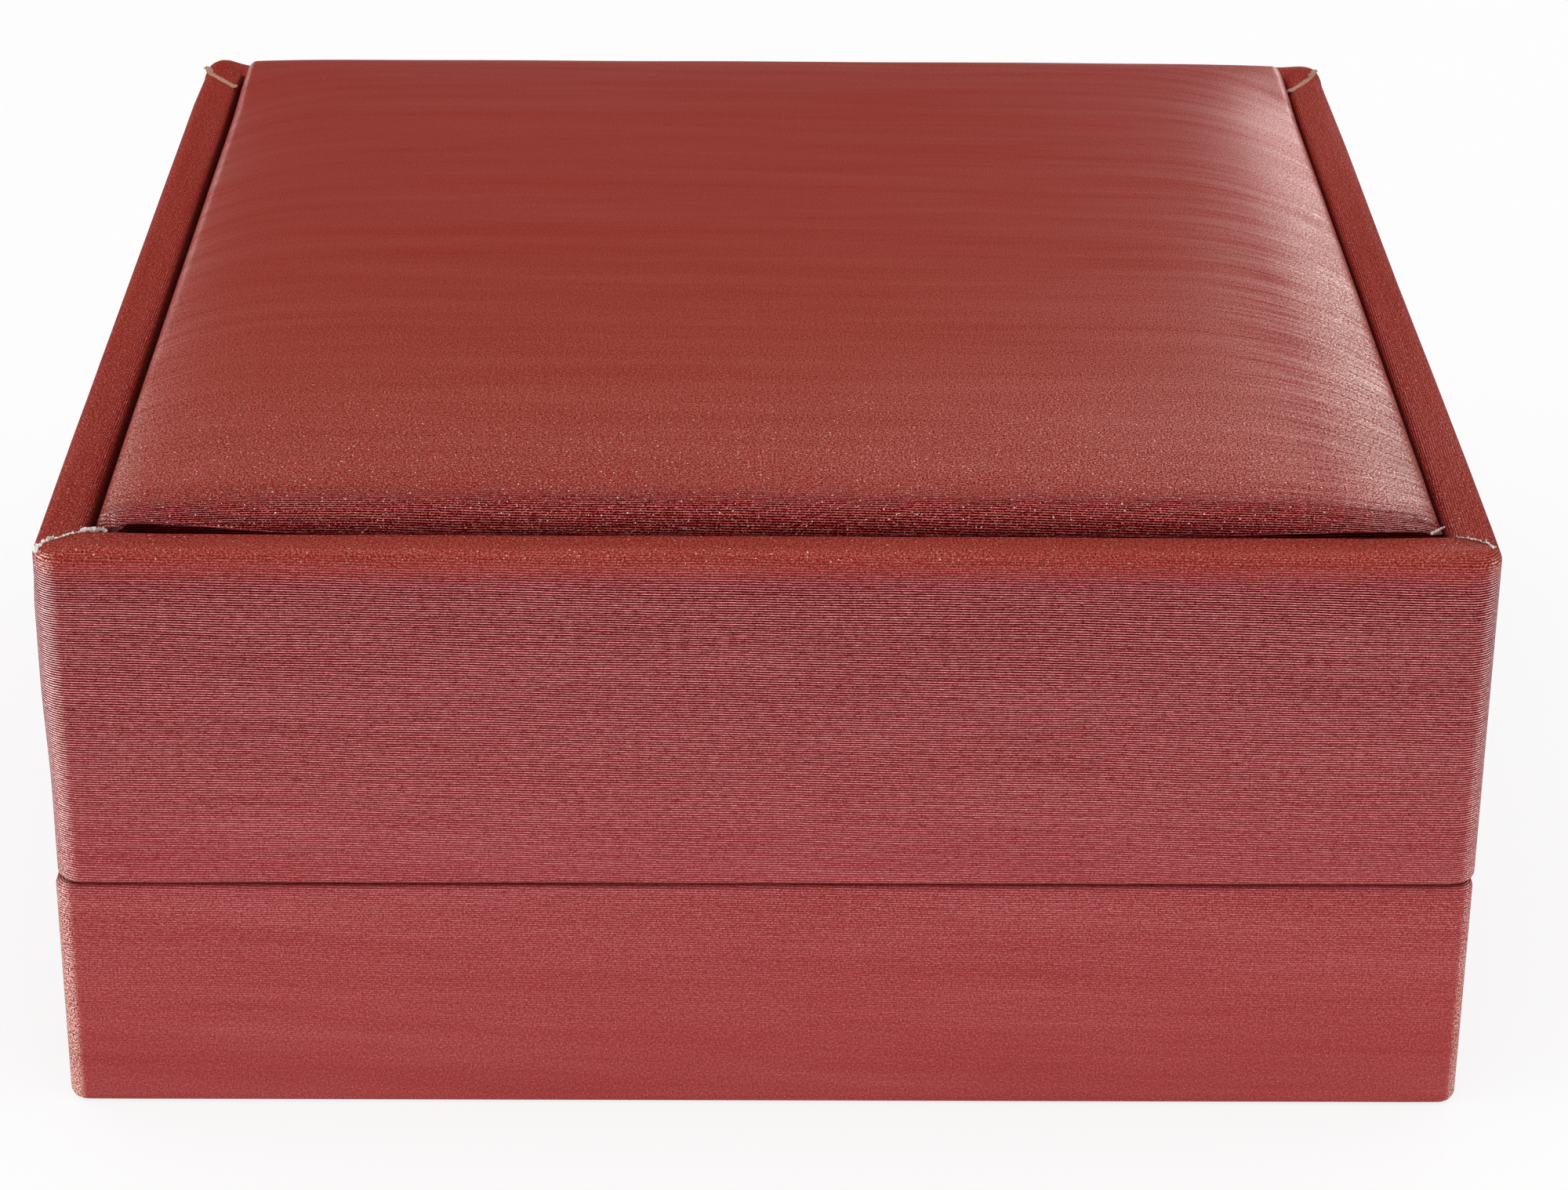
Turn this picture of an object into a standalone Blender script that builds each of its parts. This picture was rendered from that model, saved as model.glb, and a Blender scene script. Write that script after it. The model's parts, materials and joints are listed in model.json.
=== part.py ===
"""A hinged bracelet box: a leatherette-covered base and a lid with a padded top panel.

The box stands on z = 0 with its middle at x = y = 0. Its front faces -Y and its hinges lie along the
back edge at +Y. All sizes are in metres.
"""

import math

import bmesh
import bpy
from mathutils import Vector

# Outside of the box
BOX_WIDTH = 0.0950
BOX_DEPTH = 0.1000
SEAM_HEIGHT = 0.01705
LID_HEIGHT = 0.02435
SEAM_GAP = 0.0003
LID_OVERHANG = 0.0001
CORNER_RADIUS = 0.0020
RIM_EDGE_RADIUS = 0.0010
INNER_EDGE_RADIUS = 0.0005
FOOT_EDGE_RADIUS = 0.0008
SEAM_EDGE_RADIUS = 0.0003

# Boards and covering
SKIN = 0.0005
CLEARANCE = 0.0003
WALL_BOARD = 0.0016
PANEL_BOARD = 0.0018
FOOT_FLAP = 0.0080
FOOT_SHEET = 0.0005
WALL_FLAP = 0.0062
PANEL_FLAP = 0.0050
RECESS_DEPTH = 0.0032

# Padded panel in the top of the lid
PAD_GAP = 0.0004
PAD_BOARD = 0.0010
PAD_FLAP = 0.0060
PAD_ROLL_WIDTH = 0.0032
PAD_ROLL_RISE = 0.0023
PAD_CROWN_RISE = 0.0029
PAD_DRAW_IN = 0.0002

# Linings
COLLAR_BOARD = 0.0012
COLLAR_RISE = 0.0030
COLLAR_ROUNDING = 0.0003
LINING_GAP = 0.0006
FLOOR_LINING = 0.0012
CEILING_BOARD = 0.0010
CEILING_PAD = 0.0028
CEILING_DRAW_IN = 0.0004

# Bracelet pillow
PILLOW_WIDTH = 0.0760
PILLOW_DEPTH = 0.0540
PILLOW_HEIGHT = 0.0220
PILLOW_CORNER = 0.0110
PILLOW_ROLL = 0.0150
PILLOW_DRAW_IN = 0.0016
PILLOW_SKIN = 0.0006
PILLOW_FLAP = 0.0090

# Spring hinges
HINGE_INSET = 0.0215
HINGE_WIDTH = 0.0140
OPENING_ANGLE = math.radians(96)
BARREL_RADIUS = 0.0010
PIN_RADIUS = 0.00035
PIN_CLEARANCE = 0.00025
LEAF = 0.0006
LEAF_REACH = 0.0080
RIVET_SPACING = 0.0090
RIVET_RISE = 0.0052
RIVET_SHANK_RADIUS = 0.0005
RIVET_HEAD_RADIUS = 0.0011
RIVET_HEAD = 0.0004
SPRING = 0.0003
SPRING_WIDTH = 0.0036
SPRING_REACH = 0.0070

# Fineness of the curves
CORNER_STEPS = 4
EDGE_STEPS = 3
ROLL_STEPS = 4
SIDE_STEPS = 6
ROUND_STEPS = 16

# What follows from the sizes above
WALL = 2 * SKIN + 2 * CLEARANCE + WALL_BOARD
TOP = SEAM_HEIGHT + LID_HEIGHT
HALF_SEAM = SEAM_GAP / 2
LID_HALF_X = BOX_WIDTH / 2
LID_HALF_Y = BOX_DEPTH / 2
BASE_HALF_X = LID_HALF_X - LID_OVERHANG
BASE_HALF_Y = LID_HALF_Y - LID_OVERHANG
BOARD_OUTSIDE = SKIN + CLEARANCE
BOARD_INSIDE = BOARD_OUTSIDE + WALL_BOARD
FLAP_OUTSIDE = BOARD_INSIDE + CLEARANCE
FLOOR_TOP = BOARD_OUTSIDE + PANEL_BOARD
RECESS_FLOOR = TOP - RECESS_DEPTH
PANEL_TOP = RECESS_FLOOR - SKIN - CLEARANCE
PANEL_BOTTOM = PANEL_TOP - PANEL_BOARD
CEILING_BOARD_BOTTOM = PANEL_BOTTOM - CLEARANCE - CEILING_BOARD
CEILING_TOP = CEILING_BOARD_BOTTOM - CLEARANCE
PAD_FLAP_BOTTOM = RECESS_FLOOR + CLEARANCE
PAD_BOARD_BOTTOM = PAD_FLAP_BOTTOM + SKIN + CLEARANCE
PAD_FOAM_BOTTOM = PAD_BOARD_BOTTOM + PAD_BOARD + CLEARANCE
CHAMFER = OPENING_ANGLE / 2
LEAF_OUTSIDE_Y = LID_HALF_Y - WALL - CLEARANCE
LEAF_INSIDE_Y = LEAF_OUTSIDE_Y - LEAF
HINGE_OFFSET = LID_HALF_X - HINGE_INSET
PIVOT_Y = LEAF_INSIDE_Y + BARREL_RADIUS
BARREL_CLEARANCE = BARREL_RADIUS + CLEARANCE
HARDWARE_INSIDE_Y = LEAF_INSIDE_Y - CLEARANCE - max(RIVET_HEAD, SPRING)
COLLAR_X = BASE_HALF_X - WALL - CLEARANCE
COLLAR_FRONT_Y = BASE_HALF_Y - WALL - CLEARANCE
COLLAR_BACK_Y = HARDWARE_INSIDE_Y - CLEARANCE
COLLAR_TOP = SEAM_HEIGHT + COLLAR_RISE
INSIDE_X = COLLAR_X - COLLAR_BOARD
INSIDE_FRONT_Y = COLLAR_FRONT_Y - COLLAR_BOARD
INSIDE_BACK_Y = COLLAR_BACK_Y - COLLAR_BOARD
FLOOR_LINING_BOTTOM = FLOOR_TOP + CLEARANCE
PILLOW_BOTTOM = FLOOR_LINING_BOTTOM + FLOOR_LINING + CLEARANCE
INSIDE_MIDDLE_Y = (INSIDE_BACK_Y - INSIDE_FRONT_Y) / 2

# Colours in linear light, each with its roughness and metallic value
WINE_LEATHERETTE = ((0.32, 0.055, 0.055), 0.42, 0.0)
CREAM_VELVET = ((0.72, 0.62, 0.50), 0.9, 0.0)
CREAM_SATIN = ((0.80, 0.72, 0.62), 0.45, 0.0)
GREY_BOARD = ((0.35, 0.32, 0.28), 0.9, 0.0)
WHITE_FOAM = ((0.80, 0.80, 0.76), 0.95, 0.0)
BLACK_PAPER = ((0.03, 0.03, 0.03), 0.85, 0.0)
BRASS = ((0.75, 0.55, 0.25), 0.3, 1.0)
SPRING_STEEL = ((0.55, 0.55, 0.57), 0.3, 1.0)


def clear_scene():
    for thing in list(bpy.data.objects):
        bpy.data.objects.remove(thing, do_unlink=True)


def add_object(name, mesh, finish=None):
    """Puts a mesh in the scene, as a finished piece or, with no finish, as a hidden cutter."""
    thing = bpy.data.objects.new(name, mesh)
    bpy.context.scene.collection.objects.link(thing)
    if finish is None:
        thing.hide_render = True
        thing.display_type = "WIRE"
        return thing
    colour, roughness, metallic = finish
    material = bpy.data.materials.new(name + "_material")
    material.use_nodes = True
    shader = material.node_tree.nodes["Principled BSDF"]
    shader.inputs["Base Color"].default_value = (*colour, 1.0)
    shader.inputs["Roughness"].default_value = roughness
    shader.inputs["Metallic"].default_value = metallic
    mesh.materials.append(material)
    mesh.shade_smooth()
    mesh.set_sharp_from_angle(angle=math.radians(35))
    return thing


def loft(name, loops, finish=None, ring=False):
    """Joins loops of equally many points into one closed body, capped at both ends or closed to a ring."""
    shape = bmesh.new()
    rows = [[shape.verts.new(point) for point in loop] for loop in loops]
    pairs = list(zip(rows, rows[1:]))
    if ring:
        pairs.append((rows[-1], rows[0]))
    else:
        shape.faces.new(rows[0])
        shape.faces.new(rows[-1])
    for low, high in pairs:
        for i in range(len(low)):
            j = (i + 1) % len(low)
            shape.faces.new((low[i], low[j], high[j], high[i]))
    bmesh.ops.recalc_face_normals(shape, faces=shape.faces)
    if shape.calc_volume(signed=True) < 0:
        bmesh.ops.reverse_faces(shape, faces=shape.faces)
    mesh = bpy.data.meshes.new(name)
    shape.to_mesh(mesh)
    shape.free()
    return add_object(name, mesh, finish)


def block(name, low, high, finish=None, rounding=0.0):
    """A box between two corners, with all edges rounded where a rounding is given."""
    shape = bmesh.new()
    bmesh.ops.create_cube(shape, size=1.0)
    middle = [(a + b) / 2 for a, b in zip(low, high)]
    for vertex in shape.verts:
        vertex.co = Vector([vertex.co[i] * (high[i] - low[i]) for i in range(3)])
    mesh = bpy.data.meshes.new(name)
    shape.to_mesh(mesh)
    shape.free()
    thing = add_object(name, mesh, finish)
    thing.location = middle
    if rounding:
        bevel = thing.modifiers.new("Rounded edges", "BEVEL")
        bevel.width = rounding
        bevel.segments = 2
    return thing


def turned(name, axis, profile, start, finish=None):
    """A round body along +X or -Y from a start point: profile lists (distance along, radius)."""
    loops = []
    for along, radius in profile:
        loop = []
        for step in range(ROUND_STEPS):
            angle = 2 * math.pi * step / ROUND_STEPS
            across, up = radius * math.cos(angle), radius * math.sin(angle)
            offset = (along, across, up) if axis == "X" else (across, -along, up)
            loop.append(Vector(offset))
        loops.append(loop)
    thing = loft(name, loops, finish)
    thing.location = start
    return thing


def combine(thing, other, operation):
    boolean = thing.modifiers.new(f"{operation.title()} {other.name}", "BOOLEAN")
    boolean.operation = operation
    boolean.solver = "EXACT"
    boolean.object = other


def arc(middle, radii, start, end, steps):
    """Points (x, y) of an elliptic arc about a middle, with its angles in degrees."""
    points = []
    for step in range(steps + 1):
        angle = math.radians(start + (end - start) * step / steps)
        points.append((middle[0] + radii[0] * math.cos(angle), middle[1] + radii[1] * math.sin(angle)))
    return points


def outline(half_x, half_y, radius, z, kink=None, side_steps=1, draw_in=0.0, middle_y=0.0):
    """One level loop: a rectangle with rounded corners, counted anticlockwise from its right side.

    kink is the y where the two long sides get one more point. draw_in pulls the middle of each side in.
    """
    corners = ((1, 1), (-1, 1), (-1, -1), (1, -1))
    points = []
    previous = Vector((half_x, radius - half_y, 0))
    for number, (side_x, side_y) in enumerate(corners):
        centre = Vector((side_x * (half_x - radius), side_y * (half_y - radius), 0))
        turn = [
            centre + radius * Vector((math.cos(angle), math.sin(angle), 0))
            for angle in (
                math.pi / 2 * (number + step / CORNER_STEPS) for step in range(CORNER_STEPS + 1)
            )
        ]
        inward = Vector((-math.cos(math.pi / 2 * number), -math.sin(math.pi / 2 * number), 0))
        if kink is not None and number in (0, 2):
            end = half_y - radius - CLEARANCE / 4
            points.append(Vector((turn[0].x, min(kink, end), 0)))
        for step in range(1, side_steps):
            share = step / side_steps
            points.append(previous.lerp(turn[0], share) + inward * draw_in * 4 * share * (1 - share))
        points.extend(turn)
        previous = turn[-1]
    return [Vector((point.x, point.y + middle_y, z)) for point in points]


def chamfer_distance(y, depth):
    """How far from the seam's middle the bevel of the back edge lies, for a face this deep under the skin."""
    return (HALF_SEAM + depth) / math.cos(CHAMFER) + (y - PIVOT_Y) * math.tan(CHAMFER)


def wall_loops(half_x, half_y, profile, side):
    """Loops of a wall from (inset, z, depth under the skin), cut back at the rear by the hinge bevel.

    side is 1 for the lid above the seam and -1 for the base below it.
    """
    loops = []
    for inset, z, depth in profile:
        kink = PIVOT_Y - (HALF_SEAM + depth) * math.tan(CHAMFER / 2)
        radius = max(CORNER_RADIUS - inset, CLEARANCE)
        loop = outline(half_x - inset, half_y - inset, radius, z, kink=kink)
        for point in loop:
            height = max(side * (point.z - SEAM_HEIGHT), chamfer_distance(point.y, depth))
            point.z = SEAM_HEIGHT + side * height
        loops.append(loop)
    return loops


def with_depth(points, depth):
    return [(inset, z, depth) for inset, z in points]


def make_base_cover():
    """Leatherette: turned under the foot, up the wall, over its top edge and down inside."""
    top = SEAM_HEIGHT - HALF_SEAM
    flap_end = top - WALL_FLAP
    foot = FOOT_EDGE_RADIUS
    edge = SEAM_EDGE_RADIUS
    outside = [(FOOT_FLAP, 0.0)]
    outside += arc((foot, foot), (foot, foot), 270, 180, EDGE_STEPS)
    outside += arc((edge, top - edge), (edge, edge), 180, 90, EDGE_STEPS)
    outside += [(WALL, top), (WALL, flap_end)]
    inside = [(FLAP_OUTSIDE, flap_end), (FLAP_OUTSIDE, top - SKIN), (SKIN, top - SKIN)]
    inside += arc((foot, foot), (foot - SKIN, foot - SKIN), 180, 270, EDGE_STEPS)
    inside += [(FOOT_FLAP, SKIN)]
    profile = with_depth(outside, 0.0) + with_depth(inside, SKIN)
    loops = wall_loops(BASE_HALF_X, BASE_HALF_Y, profile, -1)
    return loft("base_leatherette", loops, WINE_LEATHERETTE, ring=True)


def make_base_shell():
    """Board tray: a floor and four walls."""
    top = SEAM_HEIGHT - HALF_SEAM - BOARD_OUTSIDE
    foot = FOOT_EDGE_RADIUS
    profile = [(FOOT_FLAP, BOARD_OUTSIDE), (foot, BOARD_OUTSIDE), (BOARD_OUTSIDE, foot), (BOARD_OUTSIDE, top)]
    profile += [(BOARD_INSIDE, top), (BOARD_INSIDE, FLOOR_TOP), (FOOT_FLAP, FLOOR_TOP)]
    loops = wall_loops(BASE_HALF_X, BASE_HALF_Y, with_depth(profile, BOARD_OUTSIDE), -1)
    return loft("base_shell", loops, GREY_BOARD)


def make_foot_sheet():
    inset = FOOT_FLAP + CLEARANCE
    half_x, half_y = BASE_HALF_X - inset, BASE_HALF_Y - inset
    loops = [outline(half_x, half_y, CORNER_RADIUS, z) for z in (0.0, FOOT_SHEET)]
    return loft("bottom_sheet", loops, BLACK_PAPER)


def make_lid_cover():
    """Leatherette: up inside the wall, round its lower edge, up, over the rim and down into the recess."""
    bottom = SEAM_HEIGHT + HALF_SEAM
    flap_end = bottom + WALL_FLAP
    edge, rim, inner = SEAM_EDGE_RADIUS, RIM_EDGE_RADIUS, INNER_EDGE_RADIUS
    outside = [(WALL, flap_end), (WALL, bottom)]
    outside += arc((edge, bottom + edge), (edge, edge), 270, 180, EDGE_STEPS)
    outside += arc((rim, TOP - rim), (rim, rim), 180, 90, EDGE_STEPS)
    outside += arc((WALL - inner, TOP - inner), (inner, inner), 90, 0, EDGE_STEPS)
    outside += [(WALL, RECESS_FLOOR), (WALL + PANEL_FLAP, RECESS_FLOOR)]
    inside = [(WALL + PANEL_FLAP, RECESS_FLOOR - SKIN), (FLAP_OUTSIDE, RECESS_FLOOR - SKIN)]
    inside += [(FLAP_OUTSIDE, TOP - inner - SKIN / 2), (FLAP_OUTSIDE - inner / 2, TOP - SKIN)]
    inside += arc((rim, TOP - rim), (rim - SKIN, rim - SKIN), 90, 180, EDGE_STEPS)
    inside += [(SKIN, bottom + SKIN), (FLAP_OUTSIDE, bottom + SKIN), (FLAP_OUTSIDE, flap_end)]
    profile = with_depth(outside, 0.0) + with_depth(inside, SKIN)
    loops = wall_loops(LID_HALF_X, LID_HALF_Y, profile, 1)
    return loft("lid_leatherette", loops, WINE_LEATHERETTE, ring=True)


def make_lid_shell():
    """Board lid: four walls with a panel set below their upper edge."""
    bottom = SEAM_HEIGHT + HALF_SEAM + BOARD_OUTSIDE
    rim_top = TOP - BOARD_OUTSIDE
    bevel = RIM_EDGE_RADIUS / 2
    middle = WALL + PANEL_FLAP
    profile = [(middle, PANEL_TOP), (BOARD_INSIDE, PANEL_TOP), (BOARD_INSIDE, rim_top - bevel)]
    profile += [(BOARD_INSIDE - bevel / 2, rim_top), (BOARD_OUTSIDE + bevel, rim_top)]
    profile += [(BOARD_OUTSIDE, rim_top - bevel), (BOARD_OUTSIDE, bottom), (BOARD_INSIDE, bottom)]
    profile += [(BOARD_INSIDE, PANEL_BOTTOM), (middle, PANEL_BOTTOM)]
    loops = wall_loops(LID_HALF_X, LID_HALF_Y, with_depth(profile, BOARD_OUTSIDE), 1)
    return loft("lid_shell", loops, GREY_BOARD)


def pad_loop(inset, z):
    """A loop of the lid pad, inset from the pad's own outline."""
    half_x = LID_HALF_X - WALL - PAD_GAP - inset
    half_y = LID_HALF_Y - WALL - PAD_GAP - inset
    radius = max(CORNER_RADIUS - inset, 2 * CLEARANCE)
    return outline(half_x, half_y, radius, z, side_steps=SIDE_STEPS, draw_in=PAD_DRAW_IN)


def pad_surface(depth):
    """(inset, z) of the pad's crown, from its tucked-in edge to near its middle, this deep under its skin."""
    foot = TOP - PAD_GAP
    rise = PAD_ROLL_RISE + PAD_GAP
    radii = (PAD_ROLL_WIDTH - depth, rise - depth)
    points = arc((PAD_ROLL_WIDTH, foot), radii, 180, 90, ROLL_STEPS)
    reach = BOX_WIDTH / 2 - WALL - PAD_GAP - PAD_ROLL_WIDTH
    for share in (0.12, 0.3, 0.55, 0.85):
        z = TOP + PAD_ROLL_RISE + (PAD_CROWN_RISE - PAD_ROLL_RISE) * (1 - (1 - share) ** 2)
        points.append((PAD_ROLL_WIDTH + reach * share, z - depth))
    return points


def make_pad():
    """The padded top panel: a board, a foam sheet and a leatherette cover glued under the board."""
    outside = [(PAD_FLAP, PAD_FLAP_BOTTOM), (CLEARANCE, PAD_FLAP_BOTTOM), (0.0, PAD_FLAP_BOTTOM + CLEARANCE)]
    outside += pad_surface(0.0)
    inside = [(PAD_FLAP, PAD_FLAP_BOTTOM + SKIN), (SKIN, PAD_FLAP_BOTTOM + SKIN)]
    inside += pad_surface(SKIN)
    cover = list(reversed(inside)) + outside
    loft("pad_leatherette", [pad_loop(*point) for point in cover], WINE_LEATHERETTE)
    inset = BOARD_OUTSIDE
    half_x = LID_HALF_X - WALL - PAD_GAP - inset
    half_y = LID_HALF_Y - WALL - PAD_GAP - inset
    levels = (PAD_BOARD_BOTTOM, PAD_BOARD_BOTTOM + PAD_BOARD)
    loft("pad_board", [outline(half_x, half_y, CORNER_RADIUS, z) for z in levels], GREY_BOARD)
    foam = [(inset, PAD_FOAM_BOTTOM)] + pad_surface(BOARD_OUTSIDE)
    loft("pad_foam", [pad_loop(*point) for point in foam], WHITE_FOAM)


def make_linings(prefix, bottom, top, finish):
    """Four lining boards round the inside. The back one leaves room for the hinges."""
    side_low = COLLAR_FRONT_Y - COLLAR_BOARD - CLEARANCE
    side_high = COLLAR_BACK_Y - COLLAR_BOARD - CLEARANCE
    spans = {
        "front": ((-COLLAR_X, -COLLAR_FRONT_Y), (COLLAR_X, COLLAR_BOARD - COLLAR_FRONT_Y)),
        "back": ((-COLLAR_X, COLLAR_BACK_Y - COLLAR_BOARD), (COLLAR_X, COLLAR_BACK_Y)),
        "left": ((-COLLAR_X, -side_low), (-INSIDE_X, side_high)),
        "right": ((INSIDE_X, -side_low), (COLLAR_X, side_high)),
    }
    for side, (low, high) in spans.items():
        block(f"{prefix}_{side}", (*low, bottom), (*high, top), finish, COLLAR_ROUNDING)


def make_floor_lining():
    low = (LINING_GAP - INSIDE_X, LINING_GAP - INSIDE_FRONT_Y, FLOOR_LINING_BOTTOM)
    high = (INSIDE_X - LINING_GAP, INSIDE_BACK_Y - LINING_GAP, FLOOR_LINING_BOTTOM + FLOOR_LINING)
    block("floor_lining", low, high, CREAM_VELVET, COLLAR_ROUNDING)


def make_ceiling():
    """Lining of the lid's ceiling: a board under the panel, and a satin pad that bulges downwards."""
    half_x = COLLAR_X
    half_y = (COLLAR_FRONT_Y + COLLAR_BACK_Y) / 2
    middle_y = (COLLAR_BACK_Y - COLLAR_FRONT_Y) / 2
    levels = (PANEL_BOTTOM - CLEARANCE, CEILING_BOARD_BOTTOM)
    board = [outline(half_x, half_y, CORNER_RADIUS, z, middle_y=middle_y) for z in levels]
    loft("lid_ceiling_board", board, GREY_BOARD)
    profile = arc((CEILING_PAD, CEILING_TOP), (CEILING_PAD, CEILING_PAD * 0.6), 180, 270, ROLL_STEPS)
    span = INSIDE_X - CEILING_PAD
    for share in (0.15, 0.4, 0.8):
        drop = CEILING_PAD * (0.6 + 0.4 * (1 - (1 - share) ** 2))
        profile.append((CEILING_PAD + span * share, CEILING_TOP - drop))
    loops = []
    for inset, z in profile:
        extra = LINING_GAP + inset
        pad_half_y = (INSIDE_FRONT_Y + INSIDE_BACK_Y) / 2 - extra
        radius = max(CORNER_RADIUS - inset, 2 * CLEARANCE)
        loops.append(
            outline(
                INSIDE_X - extra,
                pad_half_y,
                radius,
                z,
                side_steps=SIDE_STEPS,
                draw_in=CEILING_DRAW_IN,
                middle_y=INSIDE_MIDDLE_Y,
            )
        )
    loft("lid_ceiling_pad", loops, CREAM_SATIN)


def pillow_loop(inset, z):
    half_x = PILLOW_WIDTH / 2 - inset
    half_y = PILLOW_DEPTH / 2 - inset
    radius = max(PILLOW_CORNER - inset * 0.6, CLEARANCE)
    radius = min(radius, half_y * 0.8)
    fade = max(1 - inset / PILLOW_ROLL, 0)
    return outline(
        half_x,
        half_y,
        radius,
        z,
        side_steps=SIDE_STEPS,
        draw_in=PILLOW_DRAW_IN * fade,
        middle_y=INSIDE_MIDDLE_Y,
    )


def pillow_surface(depth):
    """(inset, z) of the pillow's sides and crown, from its flat underside to near its middle."""
    waist = PILLOW_BOTTOM + PILLOW_HEIGHT * 0.4
    below = waist - PILLOW_BOTTOM - depth
    above = PILLOW_HEIGHT * 0.6 - depth
    roll = PILLOW_ROLL - depth
    tuck = PILLOW_ROLL * 0.4
    points = arc((tuck, waist), (tuck - depth, below), 270, 180, ROLL_STEPS)
    points += arc((PILLOW_ROLL, waist), (roll, above * 0.88), 180, 90, ROLL_STEPS)[1:]
    reach = PILLOW_DEPTH / 2 - PILLOW_ROLL
    for share in (0.3, 0.6, 0.85):
        rise = above * (0.88 + 0.12 * (1 - (1 - share) ** 2))
        points.append((PILLOW_ROLL + reach * share, waist + rise))
    return points


def make_pillow():
    """The loose pillow that the bracelet goes round: foam in a velvet cover glued under it."""
    outside = [(PILLOW_FLAP, PILLOW_BOTTOM)] + pillow_surface(0.0)
    inside = [(PILLOW_FLAP, PILLOW_BOTTOM + PILLOW_SKIN)] + pillow_surface(PILLOW_SKIN)
    cover = list(reversed(inside)) + outside
    loft("pillow_velvet", [pillow_loop(*point) for point in cover], CREAM_VELVET)
    foam = pillow_surface(PILLOW_SKIN + CLEARANCE)
    loft("pillow_foam", [pillow_loop(*point) for point in foam], WHITE_FOAM)


def rod(name, axis, radius, length, start, finish=None):
    return turned(name, axis, [(0.0, radius), (length, radius)], start, finish)


def make_leaf(name, side, start, sign):
    """A flat leaf inside the back wall with its knuckles round the pivot: two below, one between above."""
    near = SEAM_HEIGHT + sign * BARREL_CLEARANCE
    far = near + sign * LEAF_REACH
    low = (start, LEAF_INSIDE_Y, min(near, far))
    high = (start + HINGE_WIDTH, LEAF_OUTSIDE_Y, max(near, far))
    leaf = block(f"hinge_leaf_{name}_{side}", low, high, BRASS)
    third = HINGE_WIDTH / 3
    width = third - CLEARANCE
    places = (start, start + 2 * third + CLEARANCE) if sign < 0 else (start + third + CLEARANCE / 2,)
    for number, x in enumerate(places):
        neck_end = near + sign * LEAF
        low = (x, LEAF_INSIDE_Y, min(SEAM_HEIGHT, neck_end))
        high = (x + width, LEAF_OUTSIDE_Y, max(SEAM_HEIGHT, neck_end))
        combine(leaf, block(f"{leaf.name}_neck_{number}", low, high), "UNION")
        axis_start = (x, PIVOT_Y, SEAM_HEIGHT)
        knuckle = rod(f"{leaf.name}_knuckle_{number}", "X", BARREL_RADIUS, width, axis_start)
        combine(leaf, knuckle, "UNION")
    return leaf


def make_rivet(name, x, z, pierced):
    """A rivet through a leaf into the wall board, and its hole in each piece that it passes."""
    hole_start = (x, LID_HALF_Y - SKIN, z)
    hole_length = LID_HALF_Y - SKIN - HARDWARE_INSIDE_Y
    hole = rod(f"{name}_hole", "Y", RIVET_SHANK_RADIUS + CLEARANCE, hole_length, hole_start)
    for piece in pierced:
        combine(piece, hole, "DIFFERENCE")
    tip_y = LID_HALF_Y - BOARD_OUTSIDE - CLEARANCE
    shank = tip_y - LEAF_INSIDE_Y + CLEARANCE
    profile = [
        (0.0, RIVET_SHANK_RADIUS),
        (shank, RIVET_SHANK_RADIUS),
        (shank, RIVET_HEAD_RADIUS),
        (shank + RIVET_HEAD / 2, RIVET_HEAD_RADIUS),
        (shank + RIVET_HEAD, RIVET_HEAD_RADIUS / 2),
    ]
    turned(name, "Y", profile, (x, tip_y, z), BRASS)


def make_pin(side, start):
    tip = PIN_RADIUS / 3
    profile = [
        (0.0, PIN_RADIUS - tip),
        (tip, PIN_RADIUS),
        (HINGE_WIDTH - tip, PIN_RADIUS),
        (HINGE_WIDTH, PIN_RADIUS - tip),
    ]
    turned(f"hinge_pin_{side}", "X", profile, (start, PIVOT_Y, SEAM_HEIGHT), SPRING_STEEL)


def make_spring(side, x):
    """A flat strip that stands inside the lower leaf and bears on the lid's knuckle."""
    high_y = LEAF_INSIDE_Y - CLEARANCE
    low = (x - SPRING_WIDTH / 2, high_y - SPRING, SEAM_HEIGHT - SPRING_REACH)
    high = (x + SPRING_WIDTH / 2, high_y, SEAM_HEIGHT + BARREL_RADIUS / 2)
    block(f"hinge_spring_{side}", low, high, SPRING_STEEL, SPRING / 4)


def make_hinge(side, x, base_pieces, lid_pieces):
    """One spring hinge, with the slot for its barrel and the holes for its rivets in the walls."""
    start = x - HINGE_WIDTH / 2
    end = x + HINGE_WIDTH / 2
    slot_low = (start - CLEARANCE, LEAF_INSIDE_Y - BARREL_RADIUS, SEAM_HEIGHT - BARREL_CLEARANCE)
    slot_high = (end + CLEARANCE, PIVOT_Y + BARREL_CLEARANCE, SEAM_HEIGHT + BARREL_CLEARANCE)
    slot = block(f"slot_{side}", slot_low, slot_high)
    bore_start = (start - BARREL_RADIUS, PIVOT_Y, SEAM_HEIGHT)
    bore_length = HINGE_WIDTH + 2 * BARREL_RADIUS
    bore = rod(f"bore_{side}", "X", PIN_RADIUS + PIN_CLEARANCE, bore_length, bore_start)
    for name, sign, (cover, shell) in (("base", -1, base_pieces), ("lid", 1, lid_pieces)):
        combine(cover, slot, "DIFFERENCE")
        leaf = make_leaf(name, side, start, sign)
        combine(leaf, bore, "DIFFERENCE")
        for place, outward in (("outer", 1), ("inner", -1)):
            rivet_x = x + math.copysign(RIVET_SPACING / 2, x * outward)
            rivet_z = SEAM_HEIGHT + sign * RIVET_RISE
            make_rivet(f"rivet_{name}_{side}_{place}", rivet_x, rivet_z, (leaf, cover, shell))
    make_pin(side, start)
    make_spring(side, x)


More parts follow.
